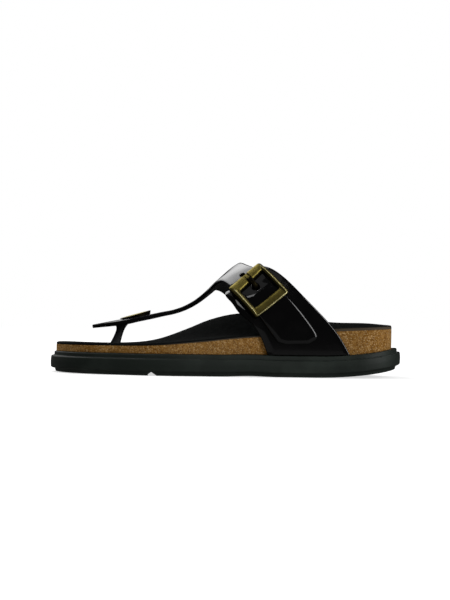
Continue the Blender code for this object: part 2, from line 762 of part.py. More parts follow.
def make_frame(parts, cutters, material):
    bm = bmesh.new()
    outer = frame_loop(FRAME_TOP, FRAME_BOTTOM, FRAME_HALF, FRAME_CORNER)
    window = frame_loop(WINDOW_TOP, WINDOW_BOTTOM, WINDOW_HALF, WINDOW_CORNER)
    rings = []
    for share, rise in FRAME_PROFILE.rows:
        ring = []
        for (a1, c1), (a2, c2) in zip(outer, window):
            across = (c1 + FRAME_SHIFT) * (1 - share) + c2 * share
            along = a1 + (a2 - a1) * share - FRAME_SKEW * across
            ring.append(on_arm(along, across, FRAME_FLOOR + FRAME_THICKNESS * rise))
        rings.append(ring)
    join_rings(bm, [*rings, rings[0]], closed=True)
    bmesh.ops.remove_doubles(bm, verts=bm.verts, dist=1e-7)
    bmesh.ops.recalc_face_normals(bm, faces=bm.faces)
    frame = add_object("buckle_frame", bm, parts, material)
    combine(frame, make_hinge_bar(cutters), "UNION")

    low = FRAME_FLOOR + FRAME_THICKNESS - NOTCH_DEPTH
    start, end = FRAME_TOP - CUT_PAST, WINDOW_TOP + CUT_PAST
    notch = [(start, -NOTCH_HALF), (end, -NOTCH_HALF), (end, NOTCH_HALF), (start, NOTCH_HALF)]
    notch_cutter = arm_prism("notch_cutter", notch, low, low + FRAME_THICKNESS, cutters)
    combine(frame, notch_cutter, "DIFFERENCE")
    return frame


def make_hinge_bar(cutters):
    """The bar that the quarter holds, with its ends bent up into the frame's sides."""
    path = [(-BAR_HALF, FRAME_FLOOR + FRAME_THICKNESS / 2, 90.0), (-BAR_HALF, BAR_HEIGHT, 45.0)]
    for k in range(1, BAR_STEPS):
        path.append((BAR_HALF * (2 * k / BAR_STEPS - 1), BAR_HEIGHT, 0.0))
    path += [(BAR_HALF, BAR_HEIGHT, -45.0), (BAR_HALF, FRAME_FLOOR + FRAME_THICKNESS / 2, -90.0)]
    bm = bmesh.new()
    rings = []
    for across, height, tilt in path:
        lean = math.radians(tilt)
        mitre = 1 / max(math.cos(lean), abs(math.sin(lean)))
        ring = []
        for k in range(BAR_SIDES):
            turn = math.tau * k / BAR_SIDES
            out = BAR_RADIUS * mitre * math.sin(turn)
            place = (across + out * math.sin(lean), height + out * math.cos(lean))
            ring.append(on_arm(BAR_RADIUS * math.cos(turn), *place))
        rings.append(ring)
    grid = join_rings(bm, rings, closed=True)
    bm.faces.new(grid[0][::-1])
    bm.faces.new(grid[-1])
    bmesh.ops.recalc_face_normals(bm, faces=bm.faces)
    return add_object("hinge_bar", bm, cutters)


def make_prong(parts, material):
    bm = bmesh.new()
    rows = PRONG.rows
    rings = []
    for k, (along, height, half) in enumerate(rows):
        before, after = rows[max(k - 1, 0)], rows[min(k + 1, len(rows) - 1)]
        run, rise = after[0] - before[0], after[1] - before[1]
        length = math.hypot(run, rise)
        ring = []
        for side in range(PRONG_SIDES):
            turn = math.tau * (side + 0.5) / PRONG_SIDES
            up, side_on = math.sin(turn), math.cos(turn)
            out = PRONG_THICKNESS / 2 * math.copysign(abs(up) ** PRONG_SQUARENESS, up)
            across = half * math.copysign(abs(side_on) ** PRONG_SQUARENESS, side_on)
            ring.append(on_arm(along - out * rise / length, across, height + out * run / length))
        rings.append(ring)
    grid = join_rings(bm, rings, closed=True)
    bm.faces.new(grid[0][::-1])
    bm.faces.new(grid[-1])
    bmesh.ops.recalc_face_normals(bm, faces=bm.faces)
    return add_object("buckle_prong", bm, parts, material)


def main():
    for old in list(bpy.data.objects):
        bpy.data.objects.remove(old, do_unlink=True)
    parts = bpy.data.collections.new("toe_post_sandal")
    cutters = bpy.data.collections.new("cutters")
    for collection in (parts, cutters):
        bpy.context.scene.collection.children.link(collection)

    rubber = add_material("sole_rubber", (0.016, 0.019, 0.017), 0.62)
    cork = add_material("cork", (0.30, 0.16, 0.06), 0.85)
    lining = add_material("lining_nap", (0.012, 0.012, 0.012), 0.90)
    patent = add_material("patent_leather", (0.006, 0.006, 0.006), 0.10)
    brass = add_material("aged_brass", (0.28, 0.22, 0.08), 0.35, 1.0)

    socket = make_post_socket(cutters)
    pieces = [
        make_outsole(parts, cutters, rubber),
        make_cork(parts, socket, cork),
        make_lining(parts, socket, lining),
        make_t_strap(parts, cutters, patent),
        make_quarter(parts, cutters, patent),
        make_post(parts, patent),
        make_rivet(parts, brass),
        make_frame(parts, cutters, brass),
        make_prong(parts, brass),
    ]
    sandal = bpy.data.objects.new("sandal", None)
    parts.objects.link(sandal)
    for piece in pieces:
        piece.parent = sandal


main()
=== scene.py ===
import math

import bmesh
import bpy
import numpy as np
from mathutils import Matrix, Vector
from mathutils.kdtree import KDTree


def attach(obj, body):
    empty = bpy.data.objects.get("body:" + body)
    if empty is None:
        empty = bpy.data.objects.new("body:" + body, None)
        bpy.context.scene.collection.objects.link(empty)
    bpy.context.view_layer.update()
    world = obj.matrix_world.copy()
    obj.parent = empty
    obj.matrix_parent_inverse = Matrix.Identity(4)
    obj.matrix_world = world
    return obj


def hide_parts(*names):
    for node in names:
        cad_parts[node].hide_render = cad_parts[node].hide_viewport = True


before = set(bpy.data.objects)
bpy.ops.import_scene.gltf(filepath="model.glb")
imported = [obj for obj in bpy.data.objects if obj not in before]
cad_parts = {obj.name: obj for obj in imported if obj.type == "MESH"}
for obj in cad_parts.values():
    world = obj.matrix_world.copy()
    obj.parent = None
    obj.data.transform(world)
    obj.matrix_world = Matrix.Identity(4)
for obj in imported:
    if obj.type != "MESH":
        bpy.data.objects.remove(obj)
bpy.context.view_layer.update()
mm = 0.001
gap = 0.3  # clearance between pieces that meet
leather = 2.6
print("frame loaded,", len(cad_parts), "solids")


class Table:  # rows of named columns, read by a smooth curve through them
    def __init__(self, columns, *rows):
        self.columns = columns
        self.rows = rows
        self.places = [row[0] for row in rows]

    def at(self, place, name):
        column = self.columns.index(name)
        values = [row[column] for row in self.rows]
        places = self.places
        place = min(max(place, places[0]), places[-1])
        last = len(places) - 1
        i = next((k for k in range(last) if place <= places[k + 1]), last - 1)

        def slope(k):
            before, after = max(k - 1, 0), min(k + 1, last)
            return (values[after] - values[before]) / (places[after] - places[before])

        span = places[i + 1] - places[i]
        t = (place - places[i]) / span
        return (
            values[i] * (1 + 2 * t) * (1 - t) ** 2
            + slope(i) * span * t * (1 - t) ** 2
            + values[i + 1] * t * t * (3 - 2 * t)
            + slope(i + 1) * span * t * t * (t - 1)
        )


def smoothStep(t):
    t = min(max(t, 0.0), 1.0)
    return t * t * (3 - 2 * t)


# Shape of the sole
sole = dict(
    length=264.0,
    heelRound=37.0,
    toeRound=52.0,
    bluntness=2.2,
    toeShift=7.0,
    thickness=15.6,
    toeSpring=0.6,
    springStart=32.0,
    toeThinning=0.03,
    heelLift=7.4,
    heelStart=-66.0,
    waistRelief=0.6,
    waistMiddle=-18.0,
    waistHalf=22.0,
    plan=Table(  # half-widths on the bumper
        ("along", "outer", "inner"),
        (-96, 35.5, 35.5),
        (-60, 37.5, 34.0),
        (-25, 41.5, 33.0),
        (10, 46.5, 38.5),
        (40, 50.0, 46.5),
        (62, 49.5, 49.0),
        (84, 46.5, 47.5),
    ),
)
halfLength = sole["length"] / 2


def liftAt(x):  # underside above the floor
    if x > sole["springStart"]:
        return sole["toeSpring"] * ((x - sole["springStart"]) / (halfLength - sole["springStart"])) ** 2
    if x < sole["heelStart"]:
        return sole["heelLift"] * ((sole["heelStart"] - x) / (halfLength + sole["heelStart"])) ** 2
    waist = (x - sole["waistMiddle"]) / sole["waistHalf"]
    return sole["waistRelief"] * (1 + math.cos(math.pi * waist)) / 2 if abs(waist) < 1 else 0.0


def soleHeight(x, height):
    return liftAt(x) + height * (1 - sole["toeThinning"] * max(x / halfLength, 0.0) ** 2)


def bumperPoint(angle):  # plan from the toe round the outer side to the heel and back
    x = halfLength * math.cos(angle)
    side = "outer" if math.sin(angle) >= 0 else "inner"
    intoToe = (x - (halfLength - sole["toeRound"])) / sole["toeRound"]
    intoHeel = (-halfLength + sole["heelRound"] - x) / sole["heelRound"]
    depth = min(max(intoToe, intoHeel, 0.0), 1.0)
    width = sole["plan"].at(x, side) * (1 - depth ** sole["bluntness"]) ** (1 / sole["bluntness"])
    shift = -sole["toeShift"] * max(x / halfLength, 0.0) ** 3
    return x, shift + (width if side == "outer" else -width)


planSteps = 720  # points round the plan where it is measured
sideways = [bumperPoint(math.tau * k / planSteps)[1] for k in range(planSteps)]
planMiddle = (max(sideways) + min(sideways)) / 2


def outlineRing(inset, points):  # point k and point -k lie across from each other
    nudge = 1e-3
    ring = []
    for k in range(points):
        angle = math.tau * k / points
        x, y = bumperPoint(angle)
        x1, y1 = bumperPoint(angle - nudge)
        x2, y2 = bumperPoint(angle + nudge)
        length = math.hypot(x2 - x1, y2 - y1)
        gone = inset(x) if callable(inset) else inset
        ring.append((x - gone * (y2 - y1) / length, y - planMiddle + gone * (x2 - x1) / length))
    return ring


# Shape of the footbed
footbed = dict(
    insetHeel=6.8,
    insetSide=6.7,
    insetToe=4.1,
    lining=1.5,
    bowlReach=15.0,
    bowlReachRise=0.72,
    bed=Table(  # heights of the cork's edges and middle
        ("along", "outer", "inner", "middle"),
        (-126, 37.4, 37.4, 28.5),
        (-110, 36.6, 38.6, 26.0),
        (-85, 35.2, 38.8, 24.4),
        (-60, 33.0, 40.6, 24.8),
        (-40, 31.0, 43.2, 26.2),
        (-22, 29.2, 44.8, 27.2),
        (-6, 27.6, 44.0, 27.4),
        (12, 25.3, 39.4, 26.2),
        (30, 23.4, 31.8, 23.0),
        (50, 21.8, 24.4, 20.2),
        (66, 21.3, 21.2, 19.2),
        (90, 21.1, 20.0, 19.3),
        (110, 21.0, 20.2, 19.2),
        (128, 20.9, 20.9, 19.3),
    ),
)


def corkInset(x):
    end = footbed["insetToe"] if x > 0 else footbed["insetHeel"]
    return footbed["insetSide"] + (end - footbed["insetSide"]) * (x / halfLength) ** 2


corkEdge = np.array(outlineRing(corkInset, 2 * planSteps))


# Shape of the last that the straps lie on
last = dict(
    ridge=Table(  # height of the ridge, and its place across the shoe
        ("along", "height", "crest"),
        (-95, 124.0, -4.0),
        (-60, 108.0, -4.5),
        (-40, 99.0, -5.0),
        (-25, 91.0, -5.5),
        (-12, 83.2, -6.0),
        (-5.5, 78.9, -6.0),
        (3.5, 70.9, -6.5),
        (12.5, 61.9, -7.0),
        (21.5, 54.2, -7.0),
        (30.5, 48.9, -7.5),
        (39.5, 45.6, -8.0),
        (48, 43.8, -8.5),
        (57, 41.8, -9.0),
        (70, 39.4, -9.5),
        (85, 36.5, -10.0),
        (103, 32.7, -10.0),
    ),
    crownUp=2.0,
    crownOut=1.8,
    shoulder=1.6,
    gridFrom=-96.0,
    gridTo=103.0,
    gridStep=0.5,
    girthSteps=160,  # to each side
    turnSteps=400,
    evening=4,  # passes that even out the small steps of the tables
)


def shoulderAt(x, side):
    rim = footbed["bed"].at(x, "outer" if side > 0 else "inner")
    return rim + gap + footbed["lining"] + last["shoulder"]


def wallAt(x, side):
    half = len(corkEdge) // 2
    line = corkEdge[: half + 1] if side > 0 else np.roll(corkEdge[::-1], 1, axis=0)[: half + 1]
    return float(np.interp(x, line[::-1, 0], line[::-1, 1])) + side * gap


def sectionLine(x, side):  # from the ridge to the sole, evenly spaced
    crest, ridge = last["ridge"].at(x, "crest"), last["ridge"].at(x, "height")
    edge, shoulder = wallAt(x, side), shoulderAt(x, side)
    turn = np.linspace(0, math.pi / 2, last["turnSteps"])
    across = crest + (edge - crest) * np.sin(turn) ** (2 / last["crownOut"])
    up = shoulder + (ridge - shoulder) * np.cos(turn) ** (2 / last["crownUp"])
    across = np.append(across, edge)
    up = np.append(up, soleHeight(x, sole["thickness"]) + gap)
    reach = np.append(0, np.cumsum(np.hypot(np.diff(across), np.diff(up))))
    even = np.linspace(0, reach[-1], last["girthSteps"] + 1)
    return np.interp(even, reach, across), np.interp(even, reach, up), reach[-1]


gridX = np.arange(last["gridFrom"], last["gridTo"] + 0.1, last["gridStep"])
lastGrid = np.zeros((len(gridX), 2 * last["girthSteps"] + 1, 3))
girthLength = {1: [], -1: []}
for i, x in enumerate(gridX):
    middle = last["girthSteps"]
    for side in (1, -1):
        across, up, reach = sectionLine(x, side)
        girthLength[side].append(reach)
        columns = middle + side * np.arange(middle + 1)
        lastGrid[i, columns, 0] = x
        lastGrid[i, columns, 1] = across
        lastGrid[i, columns, 2] = up
lastNormals = np.cross(np.gradient(lastGrid, axis=0), np.gradient(lastGrid, axis=1))
for _ in range(last["evening"]):
    padded = np.pad(lastNormals, ((1, 1), (1, 1), (0, 0)), "edge")
    lastNormals = (padded[:-2, 1:-1] + padded[2:, 1:-1] + padded[1:-1, :-2] + padded[1:-1, 2:]) / 4
lastNormals /= np.linalg.norm(lastNormals, axis=2, keepdims=True)


def onLast(x, girth, height=0.0):  # girth is 0 on the ridge, 1 at the outer sole, -1 at the inner
    u = min(max((x - last["gridFrom"]) / last["gridStep"], 0.0), len(gridX) - 1.001)
    v = min(max((girth + 1) * last["girthSteps"], 0.0), 2 * last["girthSteps"] - 0.001)
    i, j = int(u), int(v)
    u, v = u - i, v - j
    point, normal = np.zeros(3), np.zeros(3)
    corners = ((i, j, (1 - u) * (1 - v)), (i + 1, j, u * (1 - v)), (i, j + 1, (1 - u) * v), (i + 1, j + 1, u * v))
    for a, b, w in corners:
        point += lastGrid[a, b] * w
        normal += lastNormals[a, b] * w
    return Vector(point + normal / np.linalg.norm(normal) * height)


def reachOf(x, side):
    return float(np.interp(x, gridX, girthLength[side]))


def ceilingAt(x, y):  # height of the last over a point of the plan
    crest, ridge = last["ridge"].at(x, "crest"), last["ridge"].at(x, "height")
    side = 1 if y >= crest else -1
    out = min((y - crest) / (wallAt(x, side) - crest), 1.0)
    shoulder = shoulderAt(x, side)
    return shoulder + (ridge - shoulder) * (1 - out ** last["crownOut"]) ** (1 / last["crownUp"])


def bedHeight(x, y):  # a bowl that rises to the rim
    away = np.hypot(corkEdge[:, 0] - x, corkEdge[:, 1] - y)
    near = int(away.argmin())
    edgeX, edgeY = corkEdge[near]
    outer = edgeY > last["ridge"].at(edgeX, "crest")
    rim = footbed["bed"].at(edgeX, "outer" if outer else "inner")
    middle = footbed["bed"].at(x, "middle")
    reach = footbed["bowlReach"] + footbed["bowlReachRise"] * max(rim - middle, 0.0)
    share = min(away[near] / reach, 1.0)
    return middle + (rim - middle) * (1 + math.cos(math.pi * share)) / 2


print("last charted,", lastGrid.shape[0] * lastGrid.shape[1], "points")


# Mesh helpers
def joinRings(bm, rings):
    grid = [[bm.verts.new(Vector(point) * mm) for point in ring] for ring in rings]
    for low, high in zip(grid, grid[1:]):
        for k in range(len(low)):
            after = (k + 1) % len(low)
            bm.faces.new((low[k], low[after], high[after], high[k]))
    return grid


def capEnds(bm, grid):
    bm.faces.new(grid[0][::-1])
    bm.faces.new(grid[-1])


def capAcross(bm, grid):  # closes rings whose points lie in pairs
    for ring, up in ((grid[0], False), (grid[-1], True)):
        for k in range(len(ring) // 2):
            corners = list(dict.fromkeys([ring[k], ring[k + 1], ring[-k - 1], ring[-k % len(ring)]]))
            bm.faces.new(corners if up else corners[::-1])


def roundProfile(points, radius, steps=3, most=0.45):  # rounds corners, up to a share of the runs between them
    line = [Vector(p) for p in points]
    made = [line[0]]
    for before, corner, after in zip(line, line[1:], line[2:]):
        a, b = before - corner, after - corner
        cut = min(radius, a.length * most, b.length * most)
        start, end = corner + a.normalized() * cut, corner + b.normalized() * cut
        for k in range(steps + 1):
            t = k / steps
            made.append(start * (1 - t) ** 2 + corner * 2 * t * (1 - t) + end * t * t)
    return [*made, line[-1]]


def shadeSmooth(mesh, smoothAngle=38.0):
    mesh.shade_smooth()
    mesh.set_sharp_from_angle(angle=math.radians(smoothAngle))


def newPiece(name, bm, materials, smoothAngle=38.0, recalc=False):
    bmesh.ops.remove_doubles(bm, verts=bm.verts, dist=1e-7)
    if recalc:
        bmesh.ops.recalc_face_normals(bm, faces=bm.faces)
    mesh = bpy.data.meshes.new(name)
    bm.to_mesh(mesh)
    bm.free()
    shadeSmooth(mesh, smoothAngle)
    piece = bpy.data.objects.new(name, mesh)
    bpy.context.scene.collection.objects.link(piece)
    for material in materials:
        mesh.materials.append(material)
    return piece


def applyModifiers(piece):
    graph = bpy.context.evaluated_depsgraph_get()
    made = bpy.data.meshes.new_from_object(piece.evaluated_get(graph))
    piece.modifiers.clear()
    old = piece.data
    piece.data = made
    bpy.data.meshes.remove(old)
    shadeSmooth(made)


def settle(piece, slotName, *nodes):  # puts a finished piece in the frame
    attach(piece, "root")
    if nodes:
        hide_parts(*nodes)
    triangles = sum(len(p.vertices) - 2 for p in piece.data.polygons)
    print("made", piece.name, triangles, "triangles")


# Material helpers
def addNode(tree, kind, inputs=None, **settings):
    node = tree.nodes.new(kind)
    for name, value in settings.items():
        setattr(node, name, value)
    for key, value in (inputs or {}).items():
        if isinstance(value, bpy.types.NodeSocket):
            tree.links.new(value, node.inputs[key])
        else:
            node.inputs[key].default_value = value
    return node


def addRamp(tree, factor, *stops):
    ramp = addNode(tree, "ShaderNodeValToRGB", {"Fac": factor})
    elements = ramp.color_ramp.elements
    while len(elements) < len(stops):
        elements.new(0.5)
    for element, (place, colour) in zip(elements, stops):
        element.position = place
        element.color = (*colour, 1.0)
    return ramp.outputs["Color"]


def addRange(tree, value, low, high, toLow=0.0, toHigh=1.0):
    inputs = {"Value": value, "From Min": low, "From Max": high, "To Min": toLow, "To Max": toHigh}
    return addNode(tree, "ShaderNodeMapRange", inputs).outputs["Result"]


def addMath(tree, operation, *values):
    return addNode(tree, "ShaderNodeMath", dict(enumerate(values)), operation=operation).outputs[0]


def addNoise(tree, place, scale, detail=2.0):
    return addNode(tree, "ShaderNodeTexNoise", {"Vector": place, "Scale": scale, "Detail": detail}).outputs["Fac"]


def mixColour(tree, factor, first, second):
    first, second = (c if isinstance(c, bpy.types.NodeSocket) else (*c, 1.0) for c in (first, second))
    return addNode(tree, "ShaderNodeMix", {0: factor, 6: first, 7: second}, data_type="RGBA").outputs[2]


def newMaterial(name, **sockets):
    material = bpy.data.materials.new(name)
    material.use_nodes = True
    tree = material.node_tree
    shader = tree.nodes["Principled BSDF"]
    for socket, value in sockets.items():
        shader.inputs[socket.replace("_", " ")].default_value = value
    place = addNode(tree, "ShaderNodeTexCoord").outputs["Object"]
    return material, tree, shader, place


def linkShader(tree, shader, bump=None, **sockets):  # bump is a height, its strength, and its depth in metres
    if bump:
        inputs = dict(zip(("Height", "Strength", "Distance"), bump))
        sockets["Normal"] = addNode(tree, "ShaderNodeBump", inputs).outputs["Normal"]
    for name, socket in sockets.items():
        tree.links.new(socket, shader.inputs[name.replace("_", " ")])


def newGroup(name, inputs, outputs):
    tree = bpy.data.node_groups.new(name, "ShaderNodeTree")
    for title, kind, value in inputs:
        socket = tree.interface.new_socket(title, in_out="INPUT", socket_type=kind)
        if value is not None:
            socket.default_value = value
    for title, kind in outputs:
        tree.interface.new_socket(title, in_out="OUTPUT", socket_type=kind)
    return tree, tree.nodes.new("NodeGroupInput").outputs, tree.nodes.new("NodeGroupOutput").inputs


def placeGroup(tree, group, **inputs):
    return addNode(tree, "ShaderNodeGroup", inputs, node_tree=group).outputs


# Shared effects: a fine two-scale grain, and soft blotches of rubbing and dust
grainRange = (0.3, 0.7)  # most of the grain's heights lie in here
rubEdge = 0.22  # how softly a blotch ends


def makeGrain():
    tree, given, made = newGroup(
        "fineGrain",
        [
            ("Place", "NodeSocketVector", None),
            ("Coarse", "NodeSocketFloat", 400.0),
            ("Fine", "NodeSocketFloat", 1800.0),
            ("Balance", "NodeSocketFloat", 0.5),
        ],
        [("Height", "NodeSocketFloat")],
    )
    coarse = addNoise(tree, given["Place"], given["Coarse"], 3.0)
    fine = addNoise(tree, given["Place"], given["Fine"])
    mixed = addNode(tree, "ShaderNodeMix", {0: given["Balance"], 2: coarse, 3: fine}, data_type="FLOAT")
    tree.links.new(mixed.outputs[0], made["Height"])
    return tree


def makeRub():
    tree, given, made = newGroup(
        "rubbedDust",
        [("Place", "NodeSocketVector", None), ("Size", "NodeSocketFloat", 30.0), ("Cover", "NodeSocketFloat", 0.5)],
        [("Mask", "NodeSocketFloat")],
    )
    blotch = addNoise(tree, given["Place"], given["Size"], 6.0)
    full = addMath(tree, "ADD", given["Cover"], rubEdge)
    tree.links.new(addRange(tree, blotch, given["Cover"], full), made["Mask"])
    return tree


fineGrain = makeGrain()
rubbedDust = makeRub()


def makeRubber():
    look = dict(
        dark=(0.0115, 0.0172, 0.0132),
        light=(0.020, 0.028, 0.0225),
        roughness=(0.50, 0.62),
        bump=(0.05, 0.0006),
    )
    material, tree, shader, place = newMaterial("moulded sole rubber", Specular_IOR_Level=0.3)
    grain = placeGroup(tree, fineGrain, Place=place, Coarse=700.0, Fine=2600.0, Balance=0.6)["Height"]
    dust = placeGroup(tree, rubbedDust, Place=place, Size=42.0, Cover=0.46)["Mask"]
    colour = mixColour(tree, dust, look["dark"], look["light"])
    rough = addRange(tree, grain, *grainRange, *look["roughness"])
    linkShader(tree, shader, (grain, *look["bump"]), Base_Color=colour, Roughness=rough)
    return material


def makeCork():
    look = dict(
        granule=720.0,
        crumb=1700.0,
        warp=0.0007,  # makes the granules ragged
        warpSize=900.0,
        tones=((0.0, (0.20, 0.086, 0.012)), (0.55, (0.28, 0.130, 0.022)), (1.0, (0.37, 0.19, 0.050))),
        pale=(0.60, 0.39, 0.18),
        dark=(0.085, 0.034, 0.010),
        dusty=(0.36, 0.22, 0.085),
        paleFlecks=(0.76, 0.96, 0.0, 0.85),
        darkFlecks=(0.20, 0.04, 0.0, 0.85),
        dustCover=0.22,
        seam=0.10,  # of a granule, between it and the next
        roughness=(0.62, 0.80),
        bump=(0.35, 0.0004),
    )
    material, tree, shader, place = newMaterial("pressed cork", Specular_IOR_Level=0.08)
    inputs = {"Vector": place, "Scale": look["warpSize"], "Detail": 2.0}
    warp = addNode(tree, "ShaderNodeTexNoise", inputs).outputs["Color"]
    bent = addNode(tree, "ShaderNodeMix", {0: look["warp"], 4: place, 5: warp}, data_type="VECTOR").outputs[1]
    cells = {"Vector": bent, "Scale": look["granule"]}
    big = addNode(tree, "ShaderNodeTexVoronoi", cells).outputs["Color"]
    small = addNode(tree, "ShaderNodeTexVoronoi", {"Vector": bent, "Scale": look["crumb"]}).outputs["Color"]
    rim = addNode(tree, "ShaderNodeTexVoronoi", cells, feature="DISTANCE_TO_EDGE").outputs["Distance"]
    tone = addNode(tree, "ShaderNodeSeparateColor", {"Color": big}).outputs["Red"]
    fleck = addNode(tree, "ShaderNodeSeparateColor", {"Color": small}).outputs["Green"]
    dust = placeGroup(tree, rubbedDust, Place=place, Size=28.0, Cover=0.42)["Mask"]
    colour = addRamp(tree, tone, *look["tones"])
    colour = mixColour(tree, addRange(tree, fleck, *look["paleFlecks"]), colour, look["pale"])
    colour = mixColour(tree, addRange(tree, fleck, *look["darkFlecks"]), colour, look["dark"])
    colour = mixColour(tree, addRange(tree, dust, 0.0, 1.0, 0.0, look["dustCover"]), colour, look["dusty"])
    rough = addRange(tree, fleck, 0.0, 1.0, *look["roughness"])
    height = addRange(tree, rim, 0.0, look["seam"])
    linkShader(tree, shader, (height, *look["bump"]), Base_Color=colour, Roughness=rough)
    return material


def makeNap(name, dark, light, roughness, sheen):
    look = dict(rawEdgeAndLitBand=(0.085, 0.066, 0.046), bump=(0.35, 0.0005))
    fixed = dict(Roughness=roughness, Specular_IOR_Level=0.03, Sheen_Weight=sheen, Sheen_Roughness=0.4)
    material, tree, shader, place = newMaterial(name, **fixed)
    grain = placeGroup(tree, fineGrain, Place=place, Coarse=260.0, Fine=2400.0, Balance=0.55)["Height"]
    cut = addNode(tree, "ShaderNodeAttribute", attribute_name="cut").outputs["Fac"]
    # the raw edge is lighter than the nap, and that colour is also a painted highlight where the rolled edge catches
    # light
    colour = mixColour(tree, cut, addRamp(tree, grain, (0.35, dark), (0.65, light)), look["rawEdgeAndLitBand"])
    linkShader(tree, shader, (grain, *look["bump"]), Base_Color=colour)
    return material


def makePatent(name, roughness, wave, gloss, coat):
    look = dict(
        black=(0.0014, 0.0012, 0.0014),
        rubbed=(0.0034, 0.0030, 0.0030),
        dulled=1.8,  # roughness where it is rubbed
        swell=46.0,
        swellDepth=0.002,
    )
    material, tree, shader, place = newMaterial(name, Specular_IOR_Level=gloss, Coat_Weight=coat, Coat_Roughness=0.03)
    rub = placeGroup(tree, rubbedDust, Place=place, Size=60.0, Cover=0.50)["Mask"]
    colour = mixColour(tree, rub, look["black"], look["rubbed"])
    rough = addRange(tree, rub, 0.0, 1.0, roughness, roughness * look["dulled"])
    swell = addNoise(tree, place, look["swell"])
    linkShader(tree, shader, (swell, wave, look["swellDepth"]), Base_Color=colour, Roughness=rough)
    return material


def makeBrass():
    look = dict(
        bright=(0.95, 0.86, 0.42),
        aged=(0.285, 0.232, 0.056),
        deep=(0.0095, 0.0075, 0.0030),
        agedFrom=(0.15, 0.60),  # how worn and how brightened by painted highlight the metal is where each tone starts and is full; low values are also painted shade
        brightFrom=(0.80, 1.0),
        tarnish=0.35,
        roughness=(0.36, 0.50),
        polish=(0.75, 1.0, 1.0, 0.9),
        bump=(0.12, 0.0004),
    )
    material, tree, shader, place = newMaterial("aged brass", Metallic=1.0)
    grain = placeGroup(tree, fineGrain, Place=place, Coarse=260.0, Fine=1500.0, Balance=0.4)["Height"]
    rub = placeGroup(tree, rubbedDust, Place=place, Size=150.0, Cover=0.40)["Mask"]
    # this attribute holds rubbing plus painted highlight and painted shade
    wornAndLit = addNode(tree, "ShaderNodeAttribute", attribute_name="wornAndLit").outputs["Fac"]
    colour = mixColour(tree, addRange(tree, wornAndLit, *look["agedFrom"]), look["deep"], look["aged"])
    colour = mixColour(tree, addRange(tree, wornAndLit, *look["brightFrom"]), colour, look["bright"])
    colour = mixColour(tree, addRange(tree, rub, 0.0, 1.0, 0.0, look["tarnish"]), colour, look["deep"])
    rough = addRange(tree, grain, *grainRange, *look["roughness"])
    rough = addMath(tree, "MULTIPLY", rough, addRange(tree, wornAndLit, *look["polish"]))
    linkShader(tree, shader, (grain, *look["bump"]), Base_Color=colour, Roughness=rough)
    return material


def makePostSkin():  # pale at the foot, with painted shade darkening it to black under the strap
    look = dict(
        pale=(0.040, 0.040, 0.041),
        black=(0.004, 0.004, 0.0042),
        foot=0.021,
        head=0.033,
        ragged=0.15,
        roughness=(0.5, 0.68),
        bump=(0.2, 0.0004),
    )
    material, tree, shader, place = newMaterial("post leather", Specular_IOR_Level=0.3)
    grain = placeGroup(tree, fineGrain, Place=place, Coarse=420.0, Fine=2400.0, Balance=0.5)["Height"]
    height = addNode(tree, "ShaderNodeSeparateXYZ", {"Vector": place}).outputs["Z"]
    # painted shade: the colour darkens up the post toward the strap above it
    rise = addRange(tree, height, look["foot"], look["head"])
    raggedShade = addMath(tree, "ADD", rise, addRange(tree, grain, *grainRange, -look["ragged"], look["ragged"]))
    colour = mixColour(tree, raggedShade, look["pale"], look["black"])
    rough = addRange(tree, grain, *grainRange, *look["roughness"])
    linkShader(tree, shader, (grain, *look["bump"]), Base_Color=colour, Roughness=rough)
    return material


rubber = makeRubber()
cork = makeCork()
nap = makeNap("footbed nap", (0.0030, 0.0034, 0.0033), (0.0098, 0.0108, 0.0104), roughness=0.85, sheen=0.0)
backing = makeNap("strap backing", (0.008, 0.008, 0.0075), (0.018, 0.0175, 0.017), roughness=0.9, sheen=0.02)
postSkin = makePostSkin()
patent = makePatent("patent leather", roughness=0.10, wave=0.02, gloss=0.6, coat=1.0)
edgePaint = makePatent("painted edge", roughness=0.45, wave=0.0, gloss=0.15, coat=0.0)
brass = makeBrass()
print("materials ready")


# Outsole: stepped side, groove across the forefoot, and a ribbed tread
tread = dict(
    points=440,
    side=(  # height and inset
        (0.9, 12.0), (0.9, 6.8), (0.0, 6.2), (0.0, 3.9), (2.7, 3.1), (2.9, 0.9), (3.6, 0.15),
        (8.0, 0.0), (11.6, 0.3), (12.3, 0.9), (12.5, 2.6), (15.0, 2.7), (15.6, 3.3), (15.6, 9.0),
    ),
    rounding=0.35,
    grooveFront=55.2,
    grooveTop=53.2,
    grooveRear=45.8,
    grooveDepth=3.0,
    grooveBelow=2.0,  # the cutter goes on past the sole
    grooveReach=66.0,
    ribPitch=6.4,
    ribWidth=2.8,
    ribHeight=0.9,
    ribWave=1.5,
    ribWaveLength=12.0,
    ribInset=7.6,
    ribRounding=0.25,
    ribPoints=72,
    ribFree=3.0,  # kept clear at the ends of the sole and in front of the groove
    ribFreeRear=1.0,
)


def cutGroove(piece):
    front, top, rear = tread["grooveFront"], tread["grooveTop"], tread["grooveRear"]
    low, high = liftAt(front) - tread["grooveBelow"], liftAt(front) + tread["grooveDepth"]
    bm = bmesh.new()
    profile = [(front, low), (front, high), (top, high), (rear, low)]
    capEnds(bm, joinRings(bm, [[(x, side * tread["grooveReach"], z) for x, z in profile] for side in (1, -1)]))
    cutter = newPiece("grooveCutter", bm, [])
    modifier = piece.modifiers.new("groove", "BOOLEAN")
    modifier.object = cutter
    modifier.operation = "DIFFERENCE"
    applyModifiers(piece)
    bpy.data.objects.remove(cutter, do_unlink=True)


def makeOutsole():
    bm = bmesh.new()
    rings = []
    for height, inset in roundProfile(tread["side"], tread["rounding"]):
        rings.append([(x, y, soleHeight(x, height)) for x, y in outlineRing(inset, tread["points"])])
    capAcross(bm, joinRings(bm, rings))
    piece = newPiece("soleMoulding", bm, [rubber])
    cutGroove(piece)
    settle(piece, "sole_rubber", "outsole")


